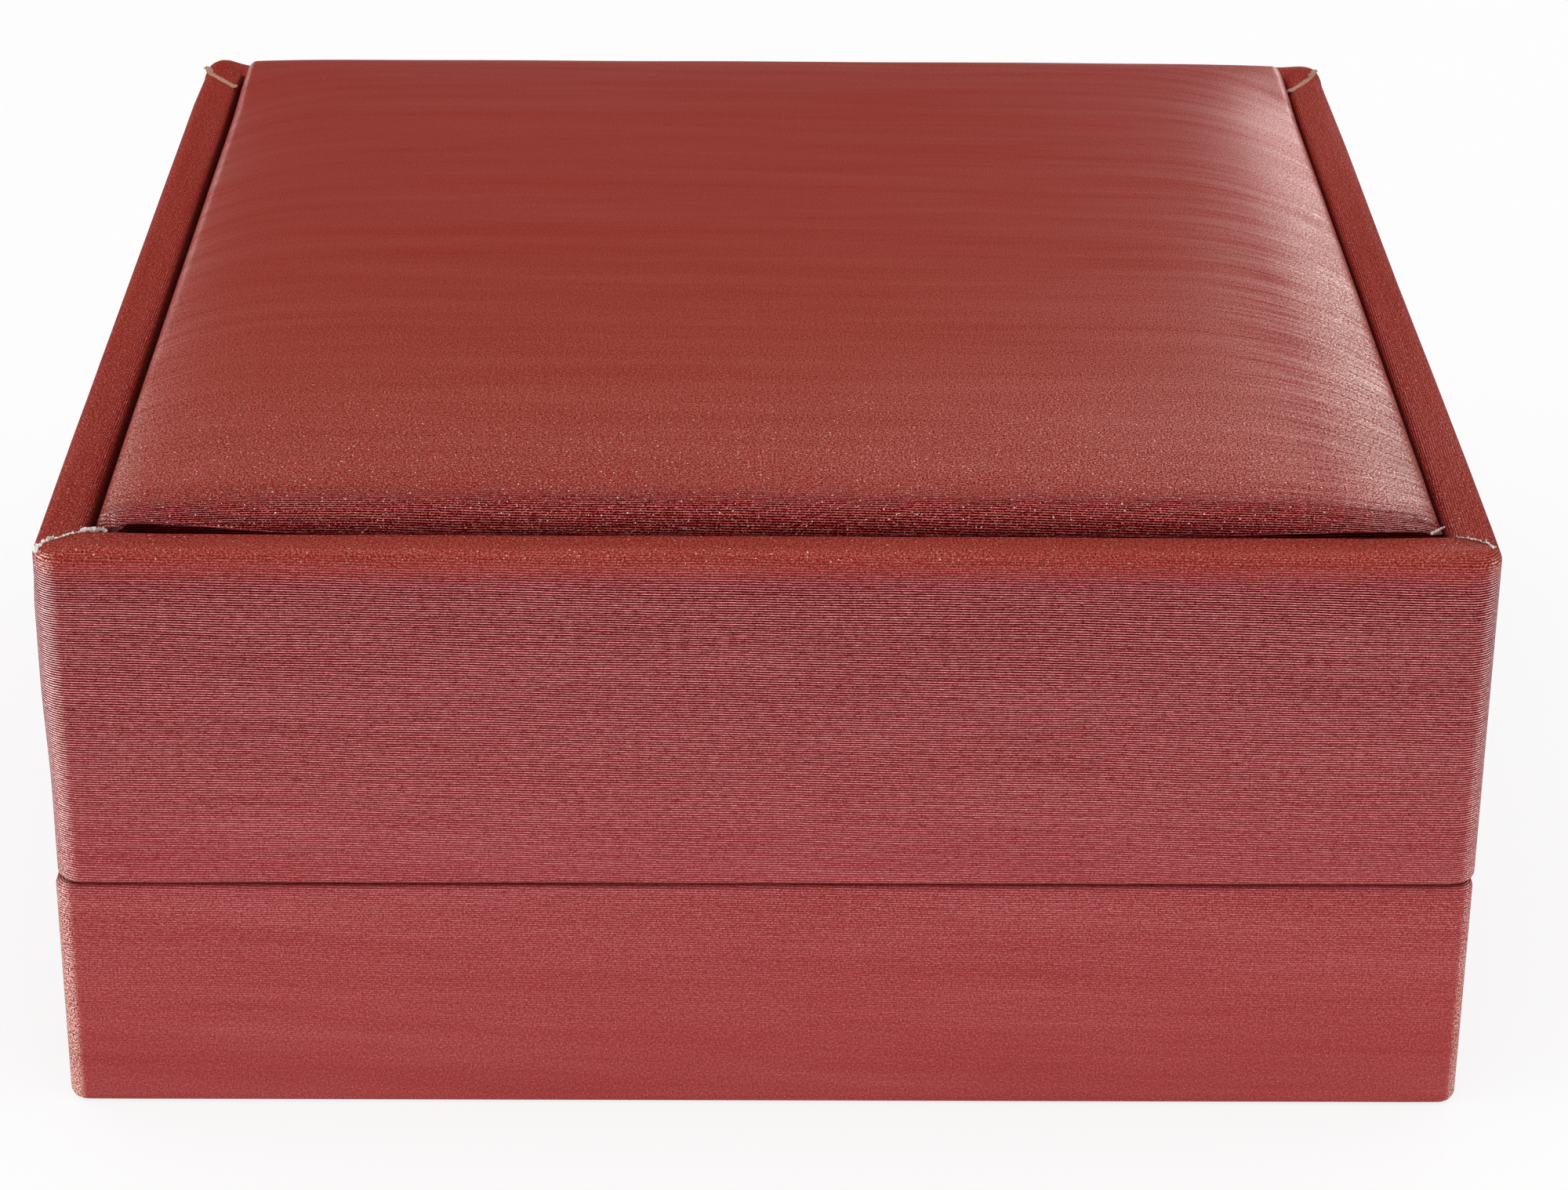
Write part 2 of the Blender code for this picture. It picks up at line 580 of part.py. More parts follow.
def carry(name, place, prefixes):
    """An empty on a joint's axis, which carries the pieces whose names start with one of the prefixes."""
    carrier = bpy.data.objects.new(name, None)
    carrier.location = place
    bpy.context.scene.collection.objects.link(carrier)
    for thing in bpy.data.objects:
        if thing.type == "MESH" and not thing.hide_render and thing.name.startswith(prefixes):
            thing.parent = carrier
            thing.location -= Vector(place)


def main():
    clear_scene()
    base_cover = make_base_cover()
    base_shell = make_base_shell()
    lid_cover = make_lid_cover()
    lid_shell = make_lid_shell()
    make_foot_sheet()
    make_pad()
    make_linings("base_collar", FLOOR_LINING_BOTTOM, COLLAR_TOP, CREAM_VELVET)
    make_linings("lid_lining", COLLAR_TOP + LINING_GAP, CEILING_TOP, CREAM_SATIN)
    make_floor_lining()
    make_ceiling()
    make_pillow()
    for side, x in (("left", -HINGE_OFFSET), ("right", HINGE_OFFSET)):
        make_hinge(side, x, (base_cover, base_shell), (lid_cover, lid_shell))
    carry("lid_hinge", (0, PIVOT_Y, SEAM_HEIGHT), ("lid_", "pad_", "hinge_leaf_lid_", "rivet_lid_"))
    carry("pillow_lift", (0, INSIDE_MIDDLE_Y, PILLOW_BOTTOM), ("pillow_",))


main()
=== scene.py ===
"""The looks of the bracelet box: grooved red leatherette outside, cream velvet and satin inside.

Metres, in the frame of the part: the box stands on z = 0 and its front faces -Y. Lengths that are easier
to read in millimetres are written as such times MM.
"""

import itertools
import json
import math
import random

import bmesh
import bpy
from mathutils import Matrix, Vector, noise


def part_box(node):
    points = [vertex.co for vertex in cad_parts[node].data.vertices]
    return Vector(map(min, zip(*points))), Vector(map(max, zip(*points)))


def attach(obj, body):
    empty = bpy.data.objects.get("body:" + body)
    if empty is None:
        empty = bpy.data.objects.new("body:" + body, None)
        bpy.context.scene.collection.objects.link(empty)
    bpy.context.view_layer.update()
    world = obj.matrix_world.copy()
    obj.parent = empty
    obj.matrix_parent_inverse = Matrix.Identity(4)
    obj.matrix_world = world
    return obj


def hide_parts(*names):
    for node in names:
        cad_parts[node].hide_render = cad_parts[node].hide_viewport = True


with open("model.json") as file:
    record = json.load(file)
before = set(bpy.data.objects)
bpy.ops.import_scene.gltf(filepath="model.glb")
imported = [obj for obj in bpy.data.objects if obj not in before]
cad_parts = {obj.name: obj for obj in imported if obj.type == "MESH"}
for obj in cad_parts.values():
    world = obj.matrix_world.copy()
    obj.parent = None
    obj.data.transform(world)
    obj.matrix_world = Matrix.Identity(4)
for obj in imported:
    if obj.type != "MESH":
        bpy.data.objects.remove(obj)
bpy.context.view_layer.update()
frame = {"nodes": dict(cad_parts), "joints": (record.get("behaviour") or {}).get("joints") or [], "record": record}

MM = 0.001

# Places read from the frame
LID_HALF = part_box("lid_leatherette")[1]
BASE_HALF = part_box("base_leatherette")[1]
PAD_LOW, PAD_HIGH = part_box("pad_leatherette")
HINGE = next(joint for joint in frame["joints"] if joint["name"] == "lid_hinge")
PIVOT_Y = HINGE["pos_m"][1]
SEAM_Z = HINGE["pos_m"][2]
BEVEL = math.radians(HINGE["range_deg"][1]) / 2
RIM_Z = LID_HALF.z

# Sizes of the covering
SKIN = 0.5 * MM
WALL = 3.2 * MM
LID_CORNER = 2.0 * MM
BASE_CORNER = 1.3 * MM
RIM_EDGE = 1.0 * MM
INNER_EDGE = 0.45 * MM
FOOT_EDGE = 0.45 * MM
LEAST_CORNER = 0.35 * MM
RECESS_DEPTH = 3.2 * MM
FOOT_FLAP = 8.0 * MM
WALL_FLAP = 6.2 * MM
PANEL_FLAP = 5.0 * MM
HALF_SEAM = 0.15 * MM
SEAM_WIDTH = 0.18 * MM
BASE_BULGE = 0.05 * MM
FOOT_ROUND = 3.5 * MM
FOOT_LIFT = 0.16 * MM

# Padded panel
PAD_FOOT_Z = RIM_Z - 0.4 * MM
PAD_RISE = 3.25 * MM
PAD_ROLL = 1.5 * MM
PAD_SHIFT = 0.14 * MM
PAD_NARROWER = 0.06 * MM

# Grooves of the leatherette, in millimetres
GROOVE_PITCH = 0.17
GROOVE_SLOPE = 0.018

# The photograph's camera
LENS_MM = 96.659
SENSOR_MM = 36.0
CAMERA_PLACE = Vector((-1.619, -295.025, 155.280)) * MM
CAMERA_PITCH = math.radians(25.471)
CAMERA_YAW = math.radians(0.628)
CAMERA_ROLL = math.radians(-0.494)


def make_camera():
    """The camera that a pinhole fit of the box's silhouette gave."""
    cos_p, sin_p = math.cos(CAMERA_PITCH), math.sin(CAMERA_PITCH)
    cos_y, sin_y = math.cos(CAMERA_YAW), math.sin(CAMERA_YAW)
    forward = Vector((sin_y * cos_p, cos_y * cos_p, -sin_p))
    level = Vector((cos_y, -sin_y, 0))
    down = forward.cross(level)
    right = math.cos(CAMERA_ROLL) * level + math.sin(CAMERA_ROLL) * down
    down = math.cos(CAMERA_ROLL) * down - math.sin(CAMERA_ROLL) * level
    data = bpy.data.cameras.new("photo_camera")
    data.lens = LENS_MM
    data.sensor_width = SENSOR_MM
    data.clip_start = 0.01
    camera = bpy.data.objects.new("photo_camera", data)
    bpy.context.scene.collection.objects.link(camera)
    turn = Matrix((right, -down, -forward)).transposed()
    camera.matrix_world = Matrix.Translation(CAMERA_PLACE) @ turn.to_4x4()
    bpy.context.scene.camera = camera


# Numbers

def smooth(share):
    """0 below 0, 1 above 1, and a smooth rise between."""
    share = min(max(share, 0.0), 1.0)
    return share * share * (3 - 2 * share)


def between(value, points):
    """The height at value of the line through points (place, height)."""
    if value <= points[0][0]:
        return points[0][1]
    for (a, low), (b, high) in zip(points, points[1:]):
        if value <= b:
            return low + (high - low) * (value - a) / (b - a)
    return points[-1][1]


def wander(x, y, scale, seed):
    """Smooth noise from -1 to 1 that changes over about this scale."""
    return noise.noise(Vector((x / scale + 17.3 * seed, y / scale - 5.1 * seed, 3.7 * seed)))


# Materials

class Nodes:
    """Short calls that build a node material."""

    def __init__(self, name):
        self.material = bpy.data.materials.new(name)
        self.material.use_nodes = True
        self.tree = self.material.node_tree
        self.shader = self.tree.nodes["Principled BSDF"]

    def add(self, kind, inputs=None, **settings):
        node = self.tree.nodes.new(kind)
        for key, value in settings.items():
            setattr(node, key, value)
        for key, value in (inputs or {}).items():
            self.fill(node.inputs[key], value)
        return node

    def fill(self, socket, value):
        if isinstance(value, bpy.types.NodeSocket):
            self.tree.links.new(value, socket)
        elif socket.type == "RGBA" and len(value) == 3:
            socket.default_value = (*value, 1.0)
        else:
            socket.default_value = value

    def set(self, inputs):
        for key, value in inputs.items():
            self.fill(self.shader.inputs[key], value)

    def math(self, operation, a, b=0.0):
        return self.add("ShaderNodeMath", {0: a, 1: b}, operation=operation).outputs[0]

    def sum(self, *terms):
        """The sum of (value, factor) pairs."""
        total = 0.0
        for value, factor in terms:
            node = self.add("ShaderNodeMath", {0: value, 1: factor, 2: total}, operation="MULTIPLY_ADD")
            total = node.outputs[0]
        return total

    def attribute(self, name, output="Fac"):
        return self.add("ShaderNodeAttribute", attribute_name=name).outputs[output]

    def noise(self, vector, scale=1.0, detail=2.0, roughness=0.5):
        """Noise that is centred on 0."""
        inputs = {"Vector": vector, "Scale": scale, "Detail": detail, "Roughness": roughness}
        value = self.add("ShaderNodeTexNoise", inputs).outputs["Fac"]
        return self.math("SUBTRACT", value, 0.5)

    def remap(self, value, low, high, to_low=0.0, to_high=1.0):
        inputs = {"Value": value, 1: low, 2: high, 3: to_low, 4: to_high}
        return self.add("ShaderNodeMapRange", inputs).outputs[0]

    def scaled(self, vector, scale):
        return self.add("ShaderNodeVectorMath", {0: vector, 1: scale}, operation="MULTIPLY").outputs[0]

    def mix(self, share, a, b):
        return self.add("ShaderNodeMix", {0: share, 6: a, 7: b}, data_type="RGBA").outputs[2]

    def tinted(self, colour, tint):
        inputs = {0: 1.0, 6: colour, 7: tint}
        return self.add("ShaderNodeMix", inputs, data_type="RGBA", blend_type="MULTIPLY").outputs[2]

    def ramp(self, share, low, middle, high):
        """From the first colour through the second, at one half, to the third."""
        lower = self.mix(self.remap(share, 0.0, 0.5), low, middle)
        return self.mix(self.remap(share, 0.5, 1.0), lower, high)

    def bump(self, height, distance):
        inputs = {"Height": height, "Distance": distance, "Strength": 1.0}
        return self.add("ShaderNodeBump", inputs).outputs[0]


def kept(build):
    """Makes a material the first time it is asked for, and gives the same one after that."""
    made = {}

    def look(name=build.__name__, *rest):
        if name not in made:
            made[name] = build(name, *rest)
        return made[name]
    return look


# Linear colours of the leatherette
FLAT_DARK = (0.190, 0.003, 0.003)
FLAT_MID = (0.340, 0.055, 0.056)
FLAT_LIGHT = (0.620, 0.150, 0.155)
# GROOVE_DARK is painted shade in the grooves' hollows and GROOVE_LIGHT a painted pinkish-white highlight on their
# ribs, over the grooves' own red
GROOVE_DARK = (0.050, 0.000, 0.000)
GROOVE_MID = (0.350, 0.018, 0.019)
GROOVE_LIGHT = (0.950, 0.300, 0.320)
# PALE and WARM_PALE are the colour of a painted highlight
PALE = (1.00, 0.72, 0.72)
WARM_PALE = (1.00, 0.74, 0.60)
WARM_FLAT = (0.97, 0.84, 0.53)
WARM_GROOVES = (1.00, 0.42, 0.36)
# SHADED is painted shade, mixed in on the side rims where the gloss is low
SHADED = (0.10, 0.004, 0.003)
# MICA and SPARKLE are painted glints on the mica specks
MICA = (0.80, 0.32, 0.27)
SPARKLE = (1.0, 0.78, 0.72)
WHITE = (1.0, 1.0, 1.0)


@kept
def leatherette(name):
    """Dark red covering with fine embossed grooves, streaks along them and mica specks.

    tone is the brightness of the grooves, from painted shade in their hollows to a painted highlight on their
    ribs, and shine that of the smooth parts. Where the gloss is over 1 a pale painted highlight is mixed in, where
    it is low painted shade darkens the colour, and the mica specks carry painted glints.
    """
    n = Nodes(name)
    place = n.attribute("grain", "Vector")
    along, across, contrast = n.add("ShaderNodeSeparateXYZ", {0: place}).outputs
    glitter = n.attribute("glitter")
    gloss_and_painted_light = n.attribute("gloss_and_painted_light")
    flat = n.add("ShaderNodeCombineXYZ", {0: along, 1: across}).outputs[0]
    slow = n.noise(n.scaled(flat, (0.06, 0.15, 0)), detail=1.0)
    quick = n.noise(n.scaled(flat, (0.9, 1.6, 0)), detail=1.0)
    place_across = n.sum((across, 1.0), (along, GROOVE_SLOPE), (slow, 0.4), (quick, 0.05))
    wave = n.math("SINE", n.math("MULTIPLY", place_across, 2 * math.pi / GROOVE_PITCH))
    lines = n.add("ShaderNodeCombineXYZ", {0: along, 1: place_across}).outputs[0]
    dash = n.noise(n.scaled(lines, (1.6, 4.5, 0)), detail=1.0)
    streak = n.noise(n.scaled(lines, (0.10, 2.6, 0)), detail=2.0, roughness=0.7)
    broad = n.noise(n.scaled(lines, (0.03, 0.40, 0)), detail=2.0)
    grit = n.noise(n.scaled(flat, (7.5, 7.5, 0)), detail=1.0, roughness=0.7)
    warmth = n.attribute("warmth")
    # Where the gloss is over 1: the strength of a painted pale highlight
    edge = n.remap(gloss_and_painted_light, 1.0, 1.5)
    drawn = n.attribute("drawn")
    drawn_streak = n.math("MULTIPLY", streak, drawn)
    coarse = n.math("MULTIPLY", grit, glitter)
    tone = n.sum((wave, 0.60), (dash, 0.65), (streak, 0.3), (broad, 0.12), (grit, 0.9))
    # Ribs are brightened where the gloss is over 1, as part of the painted highlight
    tone = n.sum((tone, 1.0), (edge, 0.15), (1.0, 0.22))
    tone = n.sum((drawn_streak, 0.9), (warmth, -0.10), (tone, 1.0))
    # From painted shade in the hollows to a painted highlight on the ribs as the tone rises
    grooves = n.ramp(tone, GROOVE_DARK, GROOVE_MID, GROOVE_LIGHT)
    grooves = n.tinted(grooves, n.mix(warmth, WHITE, WARM_GROOVES))
    # shine also falls where the gloss is low, as painted shade on the side rims
    shine = n.sum((coarse, 2.1), (broad, 0.2), (streak, 0.12), (gloss_and_painted_light, 0.13), (1.0, 0.33))
    # The grit's contrast is raised where the gloss is over 1, as part of the painted highlight
    shine = n.sum((drawn_streak, 1.2), (n.math("MULTIPLY", grit, edge), 1.8), (shine, 1.0))
    plain_red = n.ramp(shine, FLAT_DARK, FLAT_MID, FLAT_LIGHT)
    plain_red = n.tinted(plain_red, n.mix(warmth, WHITE, WARM_FLAT))
    colour = n.mix(contrast, plain_red, grooves)
    lit = n.sum((tone, contrast), (shine, n.math("SUBTRACT", 1.0, contrast)))
    # A painted pale highlight, mixed in where the gloss is over 1 and the surface is bright
    pale = n.math("MULTIPLY", edge, n.remap(lit, 0.30, 0.90, 0.0, 0.95))
    colour = n.mix(pale, colour, n.mix(contrast, WARM_PALE, PALE))
    # Mica specks, with a painted glint as their colour
    specks = n.noise(n.scaled(flat, (8.0, 8.0, 0)), detail=0.0)
    glint = n.math("MULTIPLY", n.remap(specks, 0.10, 0.34, 0.0, 0.5), glitter)
    # Painted shade where the gloss is low, on the side rims
    colour = n.mix(n.remap(gloss_and_painted_light, 0.1, 0.8, 0.08, 0.0), colour, SHADED)
    colour = n.mix(glint, colour, MICA)
    # Sparse painted glints
    sparse = n.noise(n.scaled(flat, (6.0, 6.0, 0)), detail=0.0)
    sparkle = n.math("MULTIPLY", n.remap(sparse, 0.28, 0.32), n.math("POWER", glitter, 3.0))
    colour = n.mix(sparkle, colour, SPARKLE)
    height = n.sum((n.math("MULTIPLY", wave, contrast), 0.5), (coarse, 2.6))
    height = n.sum((height, 1.0), (n.math("MULTIPLY", streak, contrast), 2.2))
    shown = n.remap(contrast, 0.0, 1.0, 0.3, 1.0)
    n.set({
        "Base Color": colour,
        "Metallic": 0.12,
        "Roughness": n.sum((grit, 0.35), (gloss_and_painted_light, -0.30), (1.0, 0.62)),
        "Specular IOR Level": n.math("MULTIPLY", n.remap(lit, 0.40, 0.68, 0.0, 1.4), shown),
        "Normal": n.bump(height, 0.035 * MM),
    })
    return n.material


@kept
def plain(name, colour, roughness):
    """A matt stuff of one colour with a fine grain."""
    n = Nodes(name)
    texture = n.add("ShaderNodeTexCoord").outputs["Object"]
    grain = n.noise(texture, 900.0, 3.0)
    dark = tuple(0.8 * c for c in colour)
    light = tuple(min(1.15 * c, 1.0) for c in colour)
    shade = n.mix(n.remap(grain, -0.3, 0.3), dark, light)
    n.set({
        "Base Color": shade,
        "Roughness": roughness,
        "Normal": n.bump(grain, 0.05 * MM),
    })
    return n.material


@kept
def velvet(name):
    """Cream velvet: a short pile, lighter at grazing angles, that lies in slightly different directions."""
    n = Nodes(name)
    place = n.add("ShaderNodeTexCoord").outputs["Object"]
    pile = n.noise(place, 3200.0, 2.0, 0.7)
    tufts = n.noise(place, 900.0, 2.0)
    nap = n.noise(place, 55.0, 2.0)
    tone = n.sum((pile, 0.9), (tufts, 0.7), (nap, 1.1), (1.0, 0.5))
    n.set({
        "Base Color": n.mix(n.remap(tone, 0.1, 0.9), (0.58, 0.50, 0.39), (0.84, 0.77, 0.65)),
        "Roughness": 0.92,
        "Specular IOR Level": 0.15,
        "Sheen Weight": 0.55,
        "Sheen Roughness": 0.35,
        "Sheen Tint": (1.0, 0.95, 0.86),
        "Normal": n.bump(n.sum((pile, 1.0), (tufts, 1.2), (nap, 2.0)), 0.16 * MM),
    })
    return n.material


@kept
def satin(name):
    """Cream satin with fine threads across its soft shine."""
    n = Nodes(name)
    place = n.add("ShaderNodeTexCoord").outputs["Object"]
    threads = n.noise(n.scaled(place, (400.0, 5200.0, 5200.0)), 1.0, 2.0)
    cross = n.noise(n.scaled(place, (5200.0, 500.0, 500.0)), 1.0, 1.0)
    soft = n.noise(place, 70.0, 2.0)
    tone = n.sum((threads, 0.8), (cross, 0.5), (soft, 0.6), (1.0, 0.5))
    n.set({
        "Base Color": n.mix(n.remap(tone, 0.1, 0.9), (0.70, 0.63, 0.53), (0.88, 0.83, 0.74)),
        "Roughness": n.remap(threads, -0.3, 0.3, 0.30, 0.46),
        "Specular IOR Level": 0.6,
        "Sheen Weight": 0.15,
        "Normal": n.bump(n.sum((threads, 1.0), (cross, 0.6)), 0.03 * MM),
    })
    return n.material


@kept
def grey_board(name):
    """Grey pulp board with short fibres and dark flecks."""
    n = Nodes(name)
    place = n.add("ShaderNodeTexCoord").outputs["Object"]
    fibres = n.noise(n.scaled(place, (500.0, 1500.0, 2600.0)), 1.0, 3.0, 0.65)
    flecks = n.noise(place, 1500.0, 1.0)
    colour = n.mix(n.remap(fibres, -0.25, 0.25), (0.23, 0.205, 0.175), (0.38, 0.35, 0.31))
    colour = n.mix(n.remap(flecks, 0.20, 0.30, 0.0, 0.6), colour, (0.12, 0.10, 0.085))
    n.set({"Base Color": colour, "Roughness": 0.93, "Normal": n.bump(fibres, 0.12 * MM)})
    return n.material


@kept
def flock(name):
    """Matt black paper covered in very short fibres."""
    n = Nodes(name)
    place = n.add("ShaderNodeTexCoord").outputs["Object"]
    fibres = n.noise(place, 4200.0, 2.0, 0.7)
    patches = n.noise(place, 120.0, 2.0)
    tone = n.sum((fibres, 1.2), (patches, 0.7), (1.0, 0.5))
    n.set({
        "Base Color": n.mix(n.remap(tone, 0.1, 0.9), (0.010, 0.009, 0.009), (0.045, 0.040, 0.040)),
        "Roughness": 0.95,
        "Specular IOR Level": 0.2,
        "Sheen Weight": 0.2,
        "Normal": n.bump(fibres, 0.1 * MM),
    })
    return n.material


@kept
def brushed(name, colour, roughness):
    """Rolled and lightly brushed metal."""
    n = Nodes(name)
    place = n.add("ShaderNodeTexCoord").outputs["Object"]
    lines = n.noise(n.scaled(place, (260.0, 5000.0, 5000.0)), 1.0, 2.0, 0.6)
    wear = n.noise(place, 420.0, 2.0)
    dull = tuple(0.72 * c for c in colour)
    n.set({
        "Base Color": n.mix(n.remap(n.sum((lines, 0.6), (wear, 1.0), (1.0, 0.5)), 0.1, 0.9), dull, colour),
        "Metallic": 1.0,
        "Roughness": n.remap(n.sum((lines, 1.0), (wear, 0.8)), -0.3, 0.3, roughness, roughness + 0.2),
        "Normal": n.bump(lines, 0.012 * MM),
    })
    return n.material


# Shapes

def arc(middle, radii, start, end, steps):
    """Points (x, y) of an elliptic arc about a middle, with its angles in degrees."""
    points = []
    for step in range(steps + 1):
        angle = math.radians(start + (end - start) * step / steps)
        points.append((middle[0] + radii[0] * math.cos(angle), middle[1] + radii[1] * math.sin(angle)))
    return points


def divided(points, longest):
    """The same line of points with more of them, none further apart than longest."""
    result = []
    for a, b in zip(points, points[1:]):
        parts = max(1, math.ceil(math.dist(a, b) / longest))
        for part in range(parts):
            result.append(tuple(p + (q - p) * part / parts for p, q in zip(a, b)))
    result.append(points[-1])
    return result


# How much the grain shows at each height in millimetres
WALL_GLITTER = ((0, 0.30), (8, 0.45), (16, 0.55), (18, 0.35), (40, 0.4), (41, 0.9))

# How orange rather than pink the walls and the rim are, at each height in millimetres
WALL_WARMTH = ((0, 0.15), (17, 0.0), (38.5, 0.0), (40.2, 0.5), (41.2, 1.0))

# Gloss off the side rims (0) and on them (1); the side rims' low value also darkens their colour as painted shade
SIDE_RIM_GLOSS_AND_SHADE = ((0.0, 0.8), (1.0, 0.1))

# Angles of a corner's points, closest together round the mitre of the covering
CORNER_ANGLES = (0, 9, 18, 27, 34, 39, 42, 44, 46, 48, 51, 56, 63, 72, 81, 90)
NEAR_STEP = 0.4 * MM
NEAR_STEPS = 20
FAR_STEPS = 40


def side_shares(length):
    """Where the points of a side lie, from 0 to 1, closer together near both of its ends."""
    near = [step * NEAR_STEP / length for step in range(1, NEAR_STEPS + 1)]
    gap = 1 - 2 * near[-1]
    middle = [near[-1] + gap * step / FAR_STEPS for step in range(1, FAR_STEPS)]
    return near + middle + [1 - share for share in reversed(near)]


def outline(half_x, half_y, radius, kink):
    """Points (x, y) of a rounded rectangle, with one on each side where the hinge bevel starts."""
    loop = []
    last = (half_x, radius - half_y)
    for number, (side_x, side_y) in enumerate(((1, 1), (-1, 1), (-1, -1), (1, -1))):
        centre = (side_x * (half_x - radius), side_y * (half_y - radius))
        turn = []
        for angle in CORNER_ANGLES:
            around = math.radians(angle + 90 * number)
            turn.append((centre[0] + radius * math.cos(around), centre[1] + radius * math.sin(around)))
        shares = side_shares(math.dist(last, turn[0]))
        side = [tuple(p + (q - p) * share for p, q in zip(last, turn[0])) for share in shares]
        if number in (0, 2) and kink < half_y - radius:
            near = min(range(len(side)), key=lambda i: abs(side[i][1] - kink))
            side[near] = (side[near][0], kink)
        loop += side + turn
        last = turn[-1]
    return loop


def cover_layers(shape):
    """What the leatherette reads at each point: grain is (along the grooves, across them, their contrast), where
    the contrast sets both the depth of the grooves' bump and how strongly their painted highlights and shade show.
    """
    names = ("glitter", "gloss_and_painted_light", "warmth", "drawn")
    grain = shape.verts.layers.float_vector.new("grain")
    return grain, *(shape.verts.layers.float.new(name) for name in names)


def join_rings(shape, low, high):
    for i in range(len(low)):
        j = (i + 1) % len(low)
        shape.faces.new((low[i], low[j], high[j], high[i]))


def make_tube(shape, rings):
    """Faces between rings of points, closed at both ends."""
    for low, high in zip(rings, rings[1:]):
        join_rings(shape, low, high)
    shape.faces.new(rings[0])
    shape.faces.new(reversed(rings[-1]))


def cover_grid(shape, grid):
    """Faces over rows of points. Gives the closed line of points round them."""
    for low, high in zip(grid, grid[1:]):
        for i in range(len(low) - 1):
            shape.faces.new((low[i], low[i + 1], high[i + 1], high[i]))
    left = [row[0] for row in grid[-2:0:-1]]
    right = [row[-1] for row in grid[1:-1]]
    return grid[0] + right + grid[-1][::-1] + left


def finish_mesh(name, shape, body, material, sharp=None):
    """Turns a bmesh into an object that rides on a body."""
    bmesh.ops.recalc_face_normals(shape, faces=shape.faces)
    if shape.calc_volume(signed=True) < 0:
        bmesh.ops.reverse_faces(shape, faces=shape.faces)
    mesh = bpy.data.meshes.new(name)
    shape.to_mesh(mesh)
    shape.free()
    mesh.materials.append(material)
    mesh.shade_smooth()
    if sharp:
        mesh.set_sharp_from_angle(angle=math.radians(sharp))
    thing = bpy.data.objects.new(name, mesh)
    bpy.context.scene.collection.objects.link(thing)
    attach(thing, body)
    return thing


def bevel_height(y, depth):
    """How far from the seam's middle the bevel of the back edge lies, for a point this deep in the wall."""
    return (HALF_SEAM + depth) / math.cos(BEVEL) + (y - PIVOT_Y) * math.tan(BEVEL)


def corner_sheen(point, half, radius):
    """Lower roughness and a painted pale highlight on the ribs round the upright corners, stronger and wider on
    the left corners than on the right.
    """
    off = radius - (half.x - abs(point.x)), radius - (half.y - abs(point.y))
    if min(off) <= 0 or point.z > RIM_Z - 0.3 * MM:
        return 0.0
    angle = math.degrees(math.atan2(off[0], off[1]))
    if point.x < 0:
        return 0.6 * between(angle, ((0, 0), (15, 0.7), (30, 1), (65, 1), (90, 0)))
    return 0.45 * between(angle, ((15, 0), (40, 1), (65, 1), (90, 0)))


def wall_cover(name, body, half, radius, profile, side, uneven, contrast, replaced):
    """A covering swept round the four walls from a profile of (inset, z, depth under the skin)."""
    shape = bmesh.new()
    grain, glitter, gloss_and_painted_light, warmth, _ = cover_layers(shape)
    rows = []
    across = 0.0
    kink = PIVOT_Y - HALF_SEAM * math.tan(BEVEL / 2)
    round_box = outline(half.x, half.y, radius, kink)
    steps = [math.dist(a, b) for a, b in zip(round_box, round_box[1:])]
    along = list(itertools.accumulate([0.0] + steps))
    for number, (inset, z, depth) in enumerate(profile):
        if number:
            across += math.dist(profile[number - 1][:2], (inset, z))
        kink = PIVOT_Y - (HALF_SEAM + depth) * math.tan(BEVEL / 2)
        loop = outline(half.x - inset, half.y - inset, max(radius - inset, LEAST_CORNER), kink)
        row = []
        for place, (x, y) in enumerate(loop):
            height = max(side * (z - SEAM_Z), bevel_height(y, depth))
            point = Vector((x, y, SEAM_Z + side * height))
            shown = contrast(point, inset)
            if depth == 0.0:
                point += uneven(point, inset)
            vertex = shape.verts.new(point)
            vertex[grain] = (along[place] / MM, across / MM, shown)
            vertex[glitter] = between(z / MM, WALL_GLITTER) * (0.8 - 0.2 * y / half.y)
            on_rim = smooth((point.z - RIM_Z + RIM_EDGE) / (0.3 * MM))
            on_rim *= smooth((half.y - 0.4 * MM - abs(y)) / (2 * MM))
            # Gloss with painted shade on the side rims and a painted highlight at the upright corners
            vertex[gloss_and_painted_light] = between(on_rim, SIDE_RIM_GLOSS_AND_SHADE) + corner_sheen(point, half, radius)
            vertex[warmth] = between(point.z / MM, WALL_WARMTH)
            row.append(vertex)
        rows.append(row)
    for low, high in zip(rows, rows[1:] + rows[:1]):
        join_rings(shape, low, high)
    cover = finish_mesh(name, shape, body, leatherette(), sharp=50)
    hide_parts(*replaced)


def with_depth(points, depth):
    return [(inset, z, depth) for inset, z in points]


# Outside coverings

# Where the covering is cut at the rim's corners: outer and inner end (x, y) and which strip lies on top
MITRES = (
    ((-47.2, -49.0), (-44.2, -46.9), -1),
    ((47.3, -48.6), (43.9, -46.6), -1),
    ((-47.4, 48.6), (-44.3, 43.2), 1),
    ((47.4, 48.8), (44.2, 43.6), 1),
)
OVERLAP = 0.10 * MM

# How clearly the grooves of the walls show at each height, in millimetres. Their painted rib highlights and groove
# shade fade towards the floor, standing in for the floor's light filling the grooves.
WALL_CONTRAST = (
    (0, 0.03), (5, 0.06), (10, 0.16), (15, 0.34), (19, 0.5), (24, 0.7), (30, 0.85), (40, 1.0),
)


